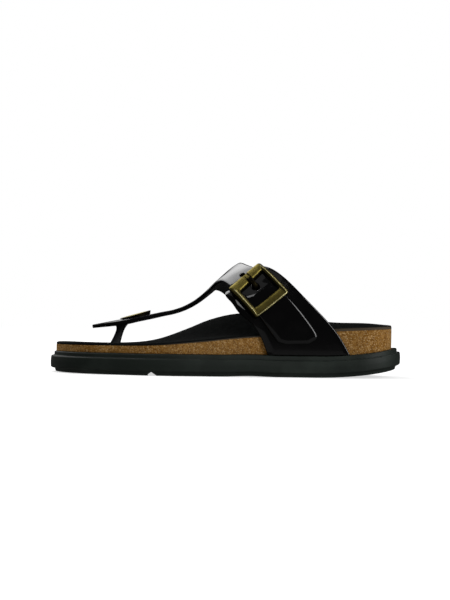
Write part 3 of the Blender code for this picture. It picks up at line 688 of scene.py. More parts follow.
def makeRibSweep():  # sweeps a rounded bar along each line
    tree = bpy.data.node_groups.new("ribSweep", "GeometryNodeTree")
    tree.interface.new_socket("Lines", in_out="INPUT", socket_type="NodeSocketGeometry")
    for title in ("Rib Width", "Rib Height", "Rib Rounding"):
        tree.interface.new_socket(title, in_out="INPUT", socket_type="NodeSocketFloat")
    tree.interface.new_socket("Ribs", in_out="OUTPUT", socket_type="NodeSocketGeometry")
    given, made = tree.nodes.new("NodeGroupInput").outputs, tree.nodes.new("NodeGroupOutput").inputs
    lines = addNode(tree, "GeometryNodeMeshToCurve", {"Mesh": given["Lines"]}).outputs["Curve"]
    upright = addNode(tree, "GeometryNodeSetCurveNormal", {"Curve": lines}, mode="Z_UP").outputs["Curve"]
    size = {"Width": given["Rib Width"], "Height": given["Rib Height"]}
    bar = addNode(tree, "GeometryNodeCurvePrimitiveQuadrilateral", size).outputs["Curve"]
    bar = addNode(tree, "GeometryNodeFilletCurve", {"Curve": bar, "Radius": given["Rib Rounding"]}).outputs["Curve"]
    sweep = {"Curve": upright, "Profile Curve": bar, "Fill Caps": True}
    swept = addNode(tree, "GeometryNodeCurveToMesh", sweep).outputs["Mesh"]
    real = addNode(tree, "GeometryNodeRealizeInstances", {"Geometry": swept}).outputs["Geometry"]
    coated = addNode(tree, "GeometryNodeSetMaterial", {"Geometry": real, "Material": rubber})
    tree.links.new(coated.outputs["Geometry"], made["Ribs"])
    return tree


def makeRibs():
    edge = np.array(outlineRing(tread["ribInset"], planSteps))
    half = planSteps // 2
    outer, inner = edge[: half + 1][::-1], np.vstack([edge[half:], edge[:1]])
    end = halfLength - tread["ribInset"] - tread["ribFree"]
    rear, front = tread["grooveRear"] - tread["ribFreeRear"], tread["grooveFront"] + tread["ribFree"]
    count = int(halfLength / tread["ribPitch"])
    bm = bmesh.new()
    for k in range(-count, count + 1):
        x = k * tread["ribPitch"]
        if abs(x) > end or rear < x < front:
            continue
        high, low = np.interp(x, outer[:, 0], outer[:, 1]), np.interp(x, inner[:, 0], inner[:, 1])
        before = None
        for y in np.linspace(low, high, tread["ribPoints"]):
            here = x + tread["ribWave"] * math.sin(math.tau * y / tread["ribWaveLength"])
            v = bm.verts.new(Vector((here, y, liftAt(here) + tread["ribHeight"] / 2)) * mm)
            if before:
                bm.edges.new((before, v))
            before = v
    piece = newPiece("treadRibs", bm, [])
    sweep = makeRibSweep()
    modifier = piece.modifiers.new("ribs", "NODES")
    modifier.node_group = sweep
    sizes = {"Rib Width": tread["ribWidth"], "Rib Height": tread["ribHeight"], "Rib Rounding": tread["ribRounding"]}
    for item in sweep.interface.items_tree:
        if item.name in sizes:
            modifier[item.identifier] = sizes[item.name] * mm
    applyModifiers(piece)
    settle(piece, "sole_rubber")


makeOutsole()
makeRibs()

# Footbed: cork body and the napped lining that rolls over its rim
bed = dict(
    points=320,
    depths=(2.4, 3.4, 4.6, 6.0, 8.0, 10.5, 13.0),  # rings that follow the edge
    shares=(0.12, 0.26, 0.42, 0.6, 0.8),  # rings from there to the middle line
    sideRows=(0.2, 0.4, 0.6, 0.8),
    brim=((0.0, -0.1, 1.0), (-1.7, 0.0, 0.0)),  # rings of the cork's rim: outward, upward, and share of the lip's drop
)
lip = dict(
    heelDrop=1.1,  # how far the lining's edge hangs over the cork
    toeDrop=0.05,
    dropFrom=-70.0,
    dropOver=100.0,
    roll=(  # as the cork's brim
        (-1.7, gap, 0.0), (-0.15, 0.05, 1.0), (0.0, 0.4, 1.0), (-0.02, 0.75, 0.4), (-0.25, 1.25, 0.0),
        (-0.7, 1.62, 0.0), (-1.4, gap + footbed["lining"], 0.0),
    ),
    rawAndLit=((1, 20.0, 40.0), (2, 20.0, 40.0), (3, -50.0, 30.0)),  # rings of the raw edge, carrying a painted highlight toward the heel where the rolled top catches light, and where and how they fade
)


def lipDrop(x):
    return lip["heelDrop"] + (lip["toeDrop"] - lip["heelDrop"]) * smoothStep((x - lip["dropFrom"]) / lip["dropOver"])


def bedRings(height):
    rings = [outlineRing(lambda x, d=depth: corkInset(x) + d, bed["points"]) for depth in bed["depths"]]
    inner = rings[-1]
    for share in bed["shares"]:
        across = [inner[-k % len(inner)] for k in range(len(inner))]
        rings.append([(x, y + ((y + farY) / 2 - y) * share) for (x, y), (_, farY) in zip(inner, across)])
    return [[(x, y, bedHeight(x, y) + height) for x, y in ring] for ring in rings]


rimHeights = [bedHeight(x, y) for x, y in outlineRing(corkInset, bed["points"])]


def edgeRing(out, rise, drop):  # a ring by the cork's upper edge
    ring = outlineRing(lambda x: corkInset(x) - out, bed["points"])
    return [(x, y, rim + rise - drop * lipDrop(x)) for (x, y), rim in zip(ring, rimHeights)]


def makeCorkBody():
    bm = bmesh.new()
    brim = [edgeRing(*step) for step in bed["brim"]]
    foot = [(x, y, soleHeight(x, sole["thickness"]) + gap) for x, y, _ in brim[0]]
    between = [[Vector(a).lerp(Vector(b), t) for a, b in zip(foot, brim[0])] for t in bed["sideRows"]]
    capAcross(bm, joinRings(bm, [foot, *between, *brim, *bedRings(0.0)]))
    settle(newPiece("corkBody", bm, [cork]), "cork", "cork_footbed")


def makeLining():
    bm = bmesh.new()
    cut = bm.verts.layers.float.new("cut")
    under, over = bedRings(gap), bedRings(gap + footbed["lining"])
    grid = joinRings(bm, [*under[::-1], *(edgeRing(*step) for step in lip["roll"]), *over])
    # painted highlight: the raw edge's lighter colour goes on toward the heel, where the rolled top catches light
    for k, start, length in lip["rawAndLit"]:
        for v in grid[len(under) + k]:
            v[cut] = 1 - smoothStep((v.co.x / mm - start) / length)
    capAcross(bm, grid)
    settle(newPiece("napLining", bm, [nap]), "lining_nap", "footbed_lining")


makeCorkBody()
makeLining()


# Straps: sheets in the last's chart, smoothed there, then laid on the last and given their leather
straps = dict(
    edge=0.75,  # rounding of the upper edge
    underEdge=0.35,
    arcSteps=4,
    smoothing=2,
    smoothAngle=50.0,
    soleGirth=0.985,  # beyond this the leather goes into the sole and isn't rolled
    rollSearch=6.0,  # wider than any roll of an edge
    holeSides=44,
    holeRoom=0.3,
    armDepth=15.0,  # keeps a hole off the far side of the foot
)
tStrap = dict(
    rows=Table(
        ("row", "frontX", "frontGirth", "rearX", "rearGirth"),
        (0, -27.0, -1.00, -77.0, -1.00),
        (1, -23.0, -0.74, -69.0, -0.78),
        (2, -11.5, -0.55, -54.0, -0.58),
        (3, -0.8, -0.385, -31.0, -0.37),
        (4, 8.4, -0.165, -14.5, -0.22),
        (5, 11.0, 0.00, -11.8, 0.00),
        (6, 8.0, 0.14, -15.8, 0.19),
        (7, 0.5, 0.295, -21.5, 0.295),
        (8, -6.3, 0.458, -25.2, 0.325),
        (9, -14.6, 0.584, -34.4, 0.460),
        (10, -23.7, 0.704, -44.4, 0.583),
        (11, -35.2, 0.866, -57.8, 0.745),
        (12, -38.4, 0.902, -66.4, 0.870),
        (13, -43.5, 0.917, -60.5, 0.917),
    ),
    ridgeRow=5,
    hingeRow=9,
    cornerRows=(4, 6),  # the strip starts between these
    columns=8,
    rowSteps=4,
    buckleRows=(7, 10),
    buckleSteps=8,
    overlap=(5.2, 7.2),  # rows over which the T climbs onto the quarter
    halfWidth=12.6,
    bump=1.6,  # over the hinge bar
    bumpSpread=3.2,
    bumpFlat=8.0,
    bumpEdge=11.4,
    spareHole=(-18.5, 1.9, 0.0),  # place along the arm, half width, and reach to each end
    prongSlot=(-4.15, 2.3, 0.95),
    strip=Table(
        ("along", "half"),
        (11.0, 12.0),
        (16.0, 10.4),
        (22.0, 9.7),
        (31.0, 9.3),
        (44.0, 9.4),
        (56.0, 11.2),
        (68.0, 13.0),
        (80.0, 12.6),
        (90.0, 9.8),
        (96.6, 6.4),
        (100.0, 3.5),
        (101.2, 1.8),
    ),
    stripStart=14.0,  # from here the T is a narrow strip
    stripSteps=14,
    tipSteps=(4.2, 2.2, 0.9, 0.0),  # back from the tip
    curl=0.9,  # of the strip's edges by the toe
    curlFrom=64.0,
    curlOver=16.0,
    roll=0.45,  # of the face down to its edges
    rollReach=2.4,
    rollFade=5.0,
    glossyArc=0.6,  # share of the rounded edge that is as glossy as the face
)
quarter = dict(
    rows=Table(
        ("row", "frontX", "frontGirth", "rearX", "rearGirth"),
        (0, 2.2, 0.430, -27.3, 0.265),
        (1, -4.5, 0.556, -40.5, 0.405),
        (2, -10.0, 0.664, -57.7, 0.601),
        (3, -20.0, 0.771, -75.3, 0.783),
        (4, -26.8, 0.890, -84.2, 0.890),
        (5, -30.8, 1.000, -91.2, 1.000),
    ),
    shares=(0.0, 0.02, 0.045, 0.075, 0.13, 0.22, 0.34, 0.48, 0.62, 0.75, 0.87, 1.0),  # close together by the front edge
    firstRows=(0.0, 0.05, 0.12),
    rowSteps=4,
    corner=0.10,  # rounds the corners under the T
    barSlot=(-1.15, 2.55, 12.65),  # for the hinge bar
    middleX=-16.0,  # a line that parts the front edge from the rear
    middleGirth=0.35,
    middleSlope=68.0,
    frontRoll=0.4,
    upperRoll=1.1,  # added above the girth given
    upperGirth=0.74,
    upperFade=0.12,
    frontReach=5.0,
    rearRoll=0.15,
    rearReach=1.0,
    glossyArc=0.2,
)
chartScale = 100.0  # chart millimetres for a whole girth


def strapPlace(table, row, across):
    frontX, front = table.at(row, "frontX"), table.at(row, "frontGirth")
    rearX, rear = table.at(row, "rearX"), table.at(row, "rearGirth")
    return frontX + (rearX - frontX) * across, front + (rear - front) * across


def makeArmLine(steps=240):  # rows of the outer arm by their distance from the hinge bar
    start, end = tStrap["ridgeRow"], tStrap["rows"].places[-1]
    rows = [start + (end - start) * k / steps for k in range(steps + 1)]
    points = [onLast(*strapPlace(tStrap["rows"], row, 0.5), leather) for row in rows]
    distances = [0.0]
    for a, b in zip(points, points[1:]):
        distances.append(distances[-1] + (b - a).length)
    hinge = min(range(len(rows)), key=lambda k: abs(rows[k] - tStrap["hingeRow"]))
    return np.array(distances) - distances[hinge], np.array(rows)


armAlong, armRows = makeArmLine()


def onArm(along, across, height):  # along the outer arm from the hinge bar, across it, above the last
    row = float(np.interp(along, armAlong, armRows))
    front, rear = (onLast(*strapPlace(tStrap["rows"], row, end)) for end in (0.0, 1.0))
    return onLast(*strapPlace(tStrap["rows"], row, 0.5 + across / (rear - front).length), height)


def tHeight(row, share):  # of the T's underside above the last
    start, end = tStrap["overlap"]
    climb = (leather + gap) * smoothStep((row - start) / (end - start))
    if row < tStrap["ridgeRow"]:
        return climb
    across = abs(2 * share - 1) * tStrap["halfWidth"]
    fall = smoothStep((across - tStrap["bumpFlat"]) / (tStrap["bumpEdge"] - tStrap["bumpFlat"]))
    along = float(np.interp(row, armRows, armAlong))
    return climb + tStrap["bump"] * (1 - fall) * math.exp(-((along / tStrap["bumpSpread"]) ** 2) / 2)


def chartSheet(rings, corners):
    bm = bmesh.new()
    crease = bm.verts.layers.float.new("crease_vert")
    grid = [[bm.verts.new((x, girth * chartScale, height)) for x, girth, height in ring] for ring in rings]
    for low, high in zip(grid, grid[1:]):
        for k in range(len(low) - 1):
            bm.faces.new((low[k], high[k], high[k + 1], low[k + 1]))
    for i, j in corners:
        grid[i][j][crease] = 1.0
    return bm, grid


def tSheet():
    rows = []
    fineFrom, fineTo = tStrap["buckleRows"]
    end = tStrap["rows"].places[-1]
    for row in range(end):
        count = tStrap["buckleSteps"] if fineFrom <= row < fineTo else tStrap["rowSteps"]
        rows += [row + k / count for k in range(count)]
    rows.append(end)
    columns = tStrap["columns"]
    shares = [c / columns for c in range(columns + 1)]
    rings = [[(*strapPlace(tStrap["rows"], row, s), tHeight(row, s)) for s in shares] for row in rows]
    bm, grid = chartSheet(rings, [(0, 0), (0, columns)])

    first, second = tStrap["cornerRows"]
    root = [ring[0] for ring, row in zip(grid, rows) if first <= row <= second]
    start, stop = tStrap["strip"].places[0], tStrap["strip"].places[-1]
    steps = tStrap["stripSteps"]
    stations = [start + (stop - start) * k / steps for k in range(1, steps)]
    stations += [stop - tip for tip in tStrap["tipSteps"]]
    for along in stations:
        half = tStrap["strip"].at(along, "half")
        curl = tStrap["curl"] * smoothStep((along - tStrap["curlFrom"]) / tStrap["curlOver"])
        tip = []
        for k in range(len(root)):
            across = 2 * k / (len(root) - 1) - 1
            girth = across * half / reachOf(along, 1 if across >= 0 else -1)
            drop = curl * (across * half / tStrap["halfWidth"]) ** 2
            tip.append(bm.verts.new((along, girth * chartScale, -drop)))
        for k in range(len(root) - 1):
            bm.faces.new((root[k], root[k + 1], tip[k + 1], tip[k]))
        root = tip
    return bm


def quarterSheet():
    steps = quarter["rowSteps"]
    rows = [*quarter["firstRows"], *(k / steps for k in range(1, steps * quarter["rows"].places[-1] + 1))]
    rings = []
    for row in rows:
        lead = quarter["corner"] * (1 - math.sqrt(1 - max(1 - 2 * row, 0.0) ** 2))
        places = [lead + (1 - 2 * lead) * share for share in quarter["shares"]]
        rings.append([(*strapPlace(quarter["rows"], row, place), 0.0) for place in places])
    return chartSheet(rings, [(len(rows) - 1, 0), (len(rows) - 1, len(quarter["shares"]) - 1)])[0]


def smoothSheet(bm):
    mesh = bpy.data.meshes.new("sheet")
    bm.to_mesh(mesh)
    bm.free()
    piece = bpy.data.objects.new("sheet", mesh)
    bpy.context.scene.collection.objects.link(piece)
    modifier = piece.modifiers.new("smooth", "SUBSURF")
    modifier.levels = modifier.render_levels = straps["smoothing"]
    applyModifiers(piece)
    bm = bmesh.new()
    bm.from_mesh(piece.data)
    bpy.data.objects.remove(piece, do_unlink=True)
    return bm


def slotOutline(half, reach, sides):  # evenly round a circle, or round a slot with round ends
    arc = math.pi * half
    outline = []
    for k in range(sides):
        travel = (2 * arc + 4 * reach) * k / sides
        if travel < arc:
            turn = travel / half - math.pi / 2
            outline.append((reach + half * math.cos(turn), half * math.sin(turn)))
        elif travel < arc + 2 * reach:
            outline.append((reach - (travel - arc), half))
        elif travel < 2 * arc + 2 * reach:
            turn = (travel - arc - 2 * reach) / half + math.pi / 2
            outline.append((half * math.cos(turn) - reach, half * math.sin(turn)))
        else:
            outline.append((travel - 2 * arc - 3 * reach, -half))
    return outline


def openHole(sheet, along, half, reach, sideways=False):  # round, or long by its reach to each end of a line
    nudge, nudgeX, nudgeGirth, tries = 0.5, 0.2, 0.002, 6
    neighbours, softening = 4, 0.05
    punched = sheet.verts.layers.int.get("punched") or sheet.verts.layers.int.new("punched")
    middle = onArm(along, 0.0, leather)
    down = (onArm(along + nudge, 0.0, leather) - onArm(along - nudge, 0.0, leather)).normalized()
    over = onArm(along, nudge, leather) - onArm(along, -nudge, leather)
    over = (over - down * over.dot(down)).normalized()
    facing = down.cross(over)
    if sideways:
        down, over = over, down

    def offset(x, girth):
        return onLast(x, girth, leather) - middle

    def spot(x, girth):
        away = offset(x, girth)
        return np.array([away.dot(down), away.dot(over)])

    chart = {v: (v.co.x, v.co.y / chartScale) for v in sheet.verts}
    spots = {v: spot(*c) for v, c in chart.items() if abs(offset(*c).dot(facing)) < straps["armDepth"]}
    away = {v: math.hypot(a - min(max(a, -reach), reach), c) for v, (a, c) in spots.items()}
    tree = KDTree(len(away))
    for k, v in enumerate(away):
        tree.insert((v.co.x, v.co.y, 0.0), k)
    tree.balance()
    heights = [v.co.z for v in away]
    seed = chart[min(away, key=lambda v: spots[v] @ spots[v])]
    rim = {edge for edge in sheet.edges if edge.is_boundary}
    room = half + straps["holeRoom"]
    gone = [face for face in sheet.faces if min(away.get(v, math.inf) for v in face.verts) < room]
    bmesh.ops.delete(sheet, geom=gone, context="FACES")
    torn = [edge for edge in sheet.edges if edge.is_boundary and edge not in rim]
    ring = []
    for goal in slotOutline(half, reach, straps["holeSides"]):
        x, girth = seed
        for _ in range(tries):  # finds the chart's point under the outline's
            here = spot(x, girth)
            slopes = [(spot(x + nudgeX, girth) - here) / nudgeX, (spot(x, girth + nudgeGirth) - here) / nudgeGirth]
            moveX, moveGirth = np.linalg.solve(np.array(slopes).T, np.array(goal) - here)
            x, girth = x + moveX, girth + moveGirth
        near = tree.find_n((x, girth * chartScale, 0.0), neighbours)
        weights = [1 / (distance + softening) for _, _, distance in near]
        height = sum(heights[k] * w for (_, k, _), w in zip(near, weights)) / sum(weights)
        ring.append(sheet.verts.new((x, girth * chartScale, height)))
        ring[-1][punched] = 1
    edges = [sheet.edges.new((a, b)) for a, b in zip(ring, ring[1:] + ring[:1])]
    bmesh.ops.bridge_loops(sheet, edges=torn + edges)


def tRoll(x, _):  # how far the face rolls down to an edge, and over what width
    fade = smoothStep((x - tStrap["stripStart"] + tStrap["rollFade"]) / tStrap["rollFade"])
    return tStrap["roll"] * (1 - fade), tStrap["rollReach"]


def quarterRoll(x, girth):
    if x <= quarter["middleX"] - quarter["middleSlope"] * (girth - quarter["middleGirth"]):
        return quarter["rearRoll"], quarter["rearReach"]
    upper = smoothStep((quarter["upperGirth"] - girth) / quarter["upperFade"])
    return quarter["frontRoll"] + quarter["upperRoll"] * upper, quarter["frontReach"]


def rollDrops(sheet, places, roll):
    punched = sheet.verts.layers.int["punched"]
    touching = {}
    for edge in sheet.edges:
        a, b = edge.verts
        inSole = max(abs(a.co.y), abs(b.co.y)) >= straps["soleGirth"] * chartScale
        if not edge.is_boundary or inSole or a[punched]:
            continue
        deep, reach = roll((a.co.x + b.co.x) / 2, (a.co.y + b.co.y) / 2 / chartScale)
        for v in edge.verts:
            touching.setdefault(v, []).append((places[a], places[b] - places[a], deep, reach))
    ends = list(touching)
    tree = KDTree(len(ends))
    for k, v in enumerate(ends):
        tree.insert(places[v], k)
    tree.balance()
    drops = {}
    for v, place in places.items():
        drops[v] = 0.0
        for _, k, _ in tree.find_range(place, straps["rollSearch"]):
            for start, run, deep, reach in touching[ends[k]]:
                share = min(max((place - start).dot(run) / run.length_squared, 0.0), 1.0)
                away = (start + run * share - place).length
                drops[v] = max(drops[v], deep * max(1 - away / reach, 0.0) ** 2)
    return drops


def edgeProfile():  # outward, upward, and whether it belongs to the upper face
    profile = []
    edge, underEdge, steps = straps["edge"], straps["underEdge"], straps["arcSteps"]
    for radius, centre, first, end in ((edge, leather - edge, 90, 0), (underEdge, underEdge, 0, -90)):
        for k in range(steps + 1):
            turn = math.radians(first + (end - first) * k / steps)
            profile.append((radius * (math.cos(turn) - 1), centre + radius * math.sin(turn), first > 0))
    return profile


def outwardFrom(sheet, low):  # at each vertex of a free edge
    out = {}
    for edge in sheet.edges:
        if edge.is_boundary:
            a, b = edge.verts
            face = edge.link_faces[0]
            centre = sum((low[v] for v in face.verts), Vector()) / len(face.verts)
            along = (low[b] - low[a]).normalized()
            away = (low[a] + low[b]) / 2 - centre
            away -= along * away.dot(along)
            for v in (a, b):
                out[v] = out.get(v, Vector()) + away.normalized()
    return out


def leatherShell(name, sheet, roll, glossyArc):
    faceSlot, edgeSlot, backSlot = range(3)
    low = {v: onLast(v.co.x, v.co.y / chartScale, v.co.z) for v in sheet.verts}
    drop = rollDrops(sheet, low, roll)
    high = {v: onLast(v.co.x, v.co.y / chartScale, v.co.z + leather - drop[v]) for v in sheet.verts}
    out = outwardFrom(sheet, low)
    profile = edgeProfile()
    bm = bmesh.new()
    rims, tops, bottoms = {}, {}, {}
    for v in sheet.verts:
        up = (high[v] - low[v]).normalized()
        if v in out:
            away = out[v].normalized()
            away = (away - up * away.dot(up)).normalized()
            rims[v] = [bm.verts.new((low[v] + away * o + up * (u - drop[v] * upper)) * mm) for o, u, upper in profile]
            tops[v], bottoms[v] = rims[v][0], rims[v][-1]
        else:
            tops[v], bottoms[v] = bm.verts.new(high[v] * mm), bm.verts.new(low[v] * mm)
    for face in sheet.faces:
        verts = list(face.verts)
        a, b, c = (low[v] for v in verts[:3])
        if (b - a).cross(c - a).dot(high[verts[0]] - low[verts[0]]) < 0:
            verts.reverse()
        bm.faces.new([tops[v] for v in verts]).material_index = faceSlot
        bm.faces.new([bottoms[v] for v in reversed(verts)]).material_index = backSlot
        for v1, v2 in zip(verts, verts[1:] + verts[:1]):
            if sheet.edges.get((v1, v2)).is_boundary:
                glossy = straps["arcSteps"] * glossyArc if v1.co.x < tStrap["stripStart"] else 0
                for k in range(len(profile) - 1):
                    quad = (rims[v2][k], rims[v1][k], rims[v1][k + 1], rims[v2][k + 1])
                    bm.faces.new(quad).material_index = faceSlot if k < glossy else edgeSlot
    sheet.free()
    return newPiece(name, bm, [patent, edgePaint, backing], straps["smoothAngle"])


def makeTStrap():
    sheet = smoothSheet(tSheet())
    openHole(sheet, *tStrap["spareHole"])
    openHole(sheet, *tStrap["prongSlot"])
    piece = leatherShell("tStrapLeather", sheet, tRoll, tStrap["glossyArc"])
    settle(piece, "patent_leather", "t_strap")


def makeQuarter():
    sheet = smoothSheet(quarterSheet())
    openHole(sheet, *quarter["barSlot"], sideways=True)
    piece = leatherShell("outerQuarterLeather", sheet, quarterRoll, quarter["glossyArc"])
    settle(piece, "patent_leather", "outer_quarter")


makeTStrap()
makeQuarter()

# Toe post and the cap above it
post = dict(
    foot=86.2,
    head=78.4,
    socket=3.0,
    sides=40,
    rows=24,
    girth=Table(
        ("rise", "alongHalf", "acrossHalf"),
        (0.00, 4.1, 2.8),
        (0.27, 4.05, 2.8),
        (0.55, 3.3, 2.7),
        (0.78, 3.35, 2.8),
        (0.90, 4.3, 3.2),
        (1.00, 6.2, 4.2),
    ),
)
cap = dict(
    place=69.0,
    radius=11.6,
    tilt=0.1,
    seat=0.45,
    sides=72,
    shape=(  # share of the radius, and height, from the underside up
        (0.0, 0.0), (0.5, 0.0), (0.985, 0.0), (1.0, 0.1), (1.0, 0.3), (0.98, 0.46), (0.95, 0.55), (0.9, 0.6),
        (0.6, 0.68), (0.3, 0.7), (0.0, 0.7),
    ),
    wornEdge=0.12,
    litFace=0.75,  # painted highlight added where the metal faces up, so the sides stay in painted shade
    faceFrom=0.6,
    faceOver=0.35,
)


def markWearAndLight(piece, amount):  # how far rubbing and painted highlight brighten the metal, 0 in a recess or in painted shade and 1 on an edge
    wornAndLit = piece.data.attributes.new("wornAndLit", "FLOAT", "POINT")
    for v in piece.data.vertices:
        wornAndLit.data[v.index].value = amount(v)


def makePost():
    bm = bmesh.new()
    crest = last["ridge"].at(post["head"], "crest")
    floor = bedHeight(post["foot"], crest) - post["socket"]
    rings = []
    for share in [k / post["rows"] for k in range(post["rows"] + 1)]:
        middle = post["foot"] + (post["head"] - post["foot"]) * share
        along, across = post["girth"].at(share, "alongHalf"), post["girth"].at(share, "acrossHalf")
        ring = []
        for k in range(post["sides"]):
            turn = math.tau * k / post["sides"]
            x, y = middle + along * math.cos(turn), crest + across * math.sin(turn)
            ring.append((x, y, floor + (ceilingAt(x, y) - gap - floor) * share))
        rings.append(ring)
    capEnds(bm, joinRings(bm, rings))
    settle(newPiece("postLeather", bm, [postSkin]), "patent_leather", "toe_post")


def makeCap():
    bm = bmesh.new()
    crest = last["ridge"].at(cap["place"], "crest")
    rings = []
    for share, height in cap["shape"]:
        ring = []
        for k in range(cap["sides"]):
            turn = math.tau * k / cap["sides"]
            x = cap["place"] + cap["radius"] * share * math.cos(turn)
            y = crest + cap["radius"] * share * math.sin(turn)
            top = onLast(x, 0.0, leather + cap["seat"]).z - onLast(x, 0.0).z
            lean = cap["tilt"] * (cap["place"] + cap["radius"] - x) if height else 0.0
            ring.append((x, y, ceilingAt(x, y) + top + height + lean))
        rings.append(ring)
    joinRings(bm, rings)
    piece = newPiece("capBrass", bm, [brass])

    # a base tone plus a painted highlight on the upward face
    def wearAndFaceLight(v):
        return cap["wornEdge"] + cap["litFace"] * smoothStep((v.normal.z - cap["faceFrom"]) / cap["faceOver"])

    markWearAndLight(piece, wearAndFaceLight)
    settle(piece, "aged_brass", "toe_rivet")


makePost()
makeCap()

# Buckle, in places along and across the outer arm from the hinge bar
buckle = dict(
    top=-16.0,
    bottom=14.3,
    windowTop=-8.8,
    windowBottom=7.8,
    half=16.0,
    windowHalf=11.8,
    shift=-0.6,  # of the outside across the strap
    skew=0.065,  # of the bars up the strap
    corner=2.2,
    windowCorner=0.8,
    thickness=3.0,
    floor=2 * leather + 2.5 * gap,
    cornerSteps=6,
    ends=(-13.8, -10.5, -8.0, -6.0, -4.5, -3.2, -2.5, -2.2, -1.2, 0.0, 1.2, 2.2, 2.5, 3.2, 4.5, 6.0, 8.0, 10.5, 13.8),
    even=6.0,  # up to here across, both edges of a bar share their places
    sideSteps=16,
    bars=dict(  # share of a bar's width from the outside to the window, height, and how bright it is: rubbed crests with a painted highlight, walls in painted shade
        top=(
            (0.0, 0.42, 0.2), (0.03, 0.66, 0.5), (0.08, 0.85, 0.7), (0.16, 0.95, 0.72), (0.28, 0.99, 0.72),
            (0.4, 1.0, 0.72), (0.5, 1.0, 0.72), (0.6, 1.0, 0.72), (0.7, 0.99, 0.72), (0.79, 0.97, 0.7),
            (0.86, 0.93, 0.66), (0.91, 0.86, 0.6), (0.95, 0.76, 0.45), (0.98, 0.62, 0.3), (1.0, 0.42, 0.1),
        ),
        side=(
            (0.0, 0.40, 0.0), (0.05, 0.56, 0.1), (0.2, 0.66, 0.28), (0.32, 0.72, 0.55), (0.39, 0.88, 0.9),
            (0.445, 0.985, 1.0), (0.5, 1.0, 1.0), (0.555, 0.985, 1.0), (0.61, 0.88, 0.9), (0.68, 0.72, 0.5),
            (0.76, 0.67, 0.38), (0.83, 0.63, 0.32), (0.9, 0.58, 0.24), (0.96, 0.51, 0.1), (1.0, 0.38, 0.0),
        ),
        bottom=(
            (0.0, 0.45, 0.1), (0.02, 0.62, 0.35), (0.04, 0.76, 0.65), (0.06, 0.88, 0.9), (0.08, 0.96, 1.0),
            (0.11, 0.995, 1.0), (0.14, 1.0, 1.0), (0.165, 0.98, 0.95), (0.19, 0.86, 0.5), (0.22, 0.70, 0.26),
            (0.3, 0.66, 0.33), (0.76, 0.66, 0.33), (0.83, 0.75, 0.75), (0.92, 0.71, 0.6), (1.0, 0.42, 0.05),
        ),
    ),
    notchHalf=2.3,  # where the prong rests
    notchDepth=1.7,
    barRadius=0.95,
    barHalf=13.85,
    barSides=16,
    barSteps=6,  # to each side
    smoothAngle=46.0,
)
prong = dict(
    line=Table(
        ("along", "height", "half"),
        (-13.9, 8.55, 1.2),
        (-12.2, 8.65, 1.6),
        (-9.5, 8.65, 1.8),
        (-6.5, 8.35, 1.8),
        (-4.4, 6.90, 1.8),
        (-2.9, 4.60, 1.8),
        (-2.2, 2.60, 1.8),
        (-2.1, 1.20, 1.8),
    ),
    between=(0.0, 0.34, 0.67),
    smoothing=3,
    thickness=1.6,
    sides=16,
    roundness=0.6,  # of its section, 1 for an ellipse
    # the tip is as bright as the bar; the rest of the prong is painted into the window's shade
    tipWornAndLit=0.7,
    litReach=2.2,
    fadeToShade=2.4,
)


def buckleLoop(top, bottom, half, corner, windowed):
    loop = []  # along, across, the two bars met there and the share of the second
    even, steps = buckle["even"], buckle["cornerSteps"]

    def endAcross(a):
        if not windowed or abs(a) <= even:
            return a
        outer = buckle["half"] - buckle["corner"]
        return math.copysign(even + (abs(a) - even) * (half - corner - even) / (outer - even), a)

    def turnCorner(along, across, first, names):
        for k in range(1, steps):
            turn = math.pi / 2 * (first + k / steps)
            place = (along + corner * math.cos(turn), across + corner * math.sin(turn))
            loop.append((*place, *names, smoothStep(k / steps)))

    sides = [k / buckle["sideSteps"] for k in range(buckle["sideSteps"] + 1)]
    reach = bottom - top - 2 * corner
    loop += [(bottom, endAcross(a), "bottom", "bottom", 0.0) for a in buckle["ends"]]
    turnCorner(bottom - corner, half - corner, 0, ("bottom", "side"))
    loop += [(bottom - corner - reach * s, half, "side", "side", 0.0) for s in sides]
    turnCorner(top + corner, half - corner, 1, ("side", "top"))
    loop += [(top, endAcross(a), "top", "top", 0.0) for a in reversed(buckle["ends"])]
    turnCorner(top + corner, corner - half, 2, ("top", "side"))
    loop += [(top + corner + reach * s, -half, "side", "side", 0.0) for s in sides]
    turnCorner(bottom - corner, corner - half, 3, ("side", "bottom"))
    return loop


def addFrame(bm):
    wornAndLit = bm.verts.layers.float.new("wornAndLit")
    outer = buckleLoop(buckle["top"], buckle["bottom"], buckle["half"], buckle["corner"], False)
    window = buckleLoop(buckle["windowTop"], buckle["windowBottom"], buckle["windowHalf"], buckle["windowCorner"], True)
    count = len(buckle["bars"]["top"])
    rings, marks = [], []
    for station in range(-1, count + 1):  # the first and last stand on the floor of the frame
        ring, mark = [], []
        for (a1, c1, first, second, mix), (a2, c2, *_) in zip(outer, window):
            pair = [buckle["bars"][name][min(max(station, 0), count - 1)] for name in (first, second)]
            share, height, bright = (p + (q - p) * mix for p, q in zip(*pair))
            if not 0 <= station < count:
                height = 0.0
            drift = buckle["shift"] * smoothStep((abs(c1) - buckle["even"]) / (buckle["half"] - buckle["even"]))
            across = (c1 + drift) * (1 - share) + c2 * share
            along = a1 + (a2 - a1) * share - buckle["skew"] * across
            if first == second == "top" and abs(across) < buckle["notchHalf"]:
                height = min(height, 1 - buckle["notchDepth"] / buckle["thickness"])
            ring.append(onArm(along, across, buckle["floor"] + buckle["thickness"] * height))
            mark.append(bright)
        rings.append(ring)
        marks.append(mark)
    # each point gets its bar's brightness: worn crests plus painted highlight, with painted shade on the walls
    grid = joinRings(bm, [*rings, rings[0]])
    for ring, mark in zip(grid, [*marks, marks[0]]):
        for v, bright in zip(ring, mark):
            v[wornAndLit] = bright


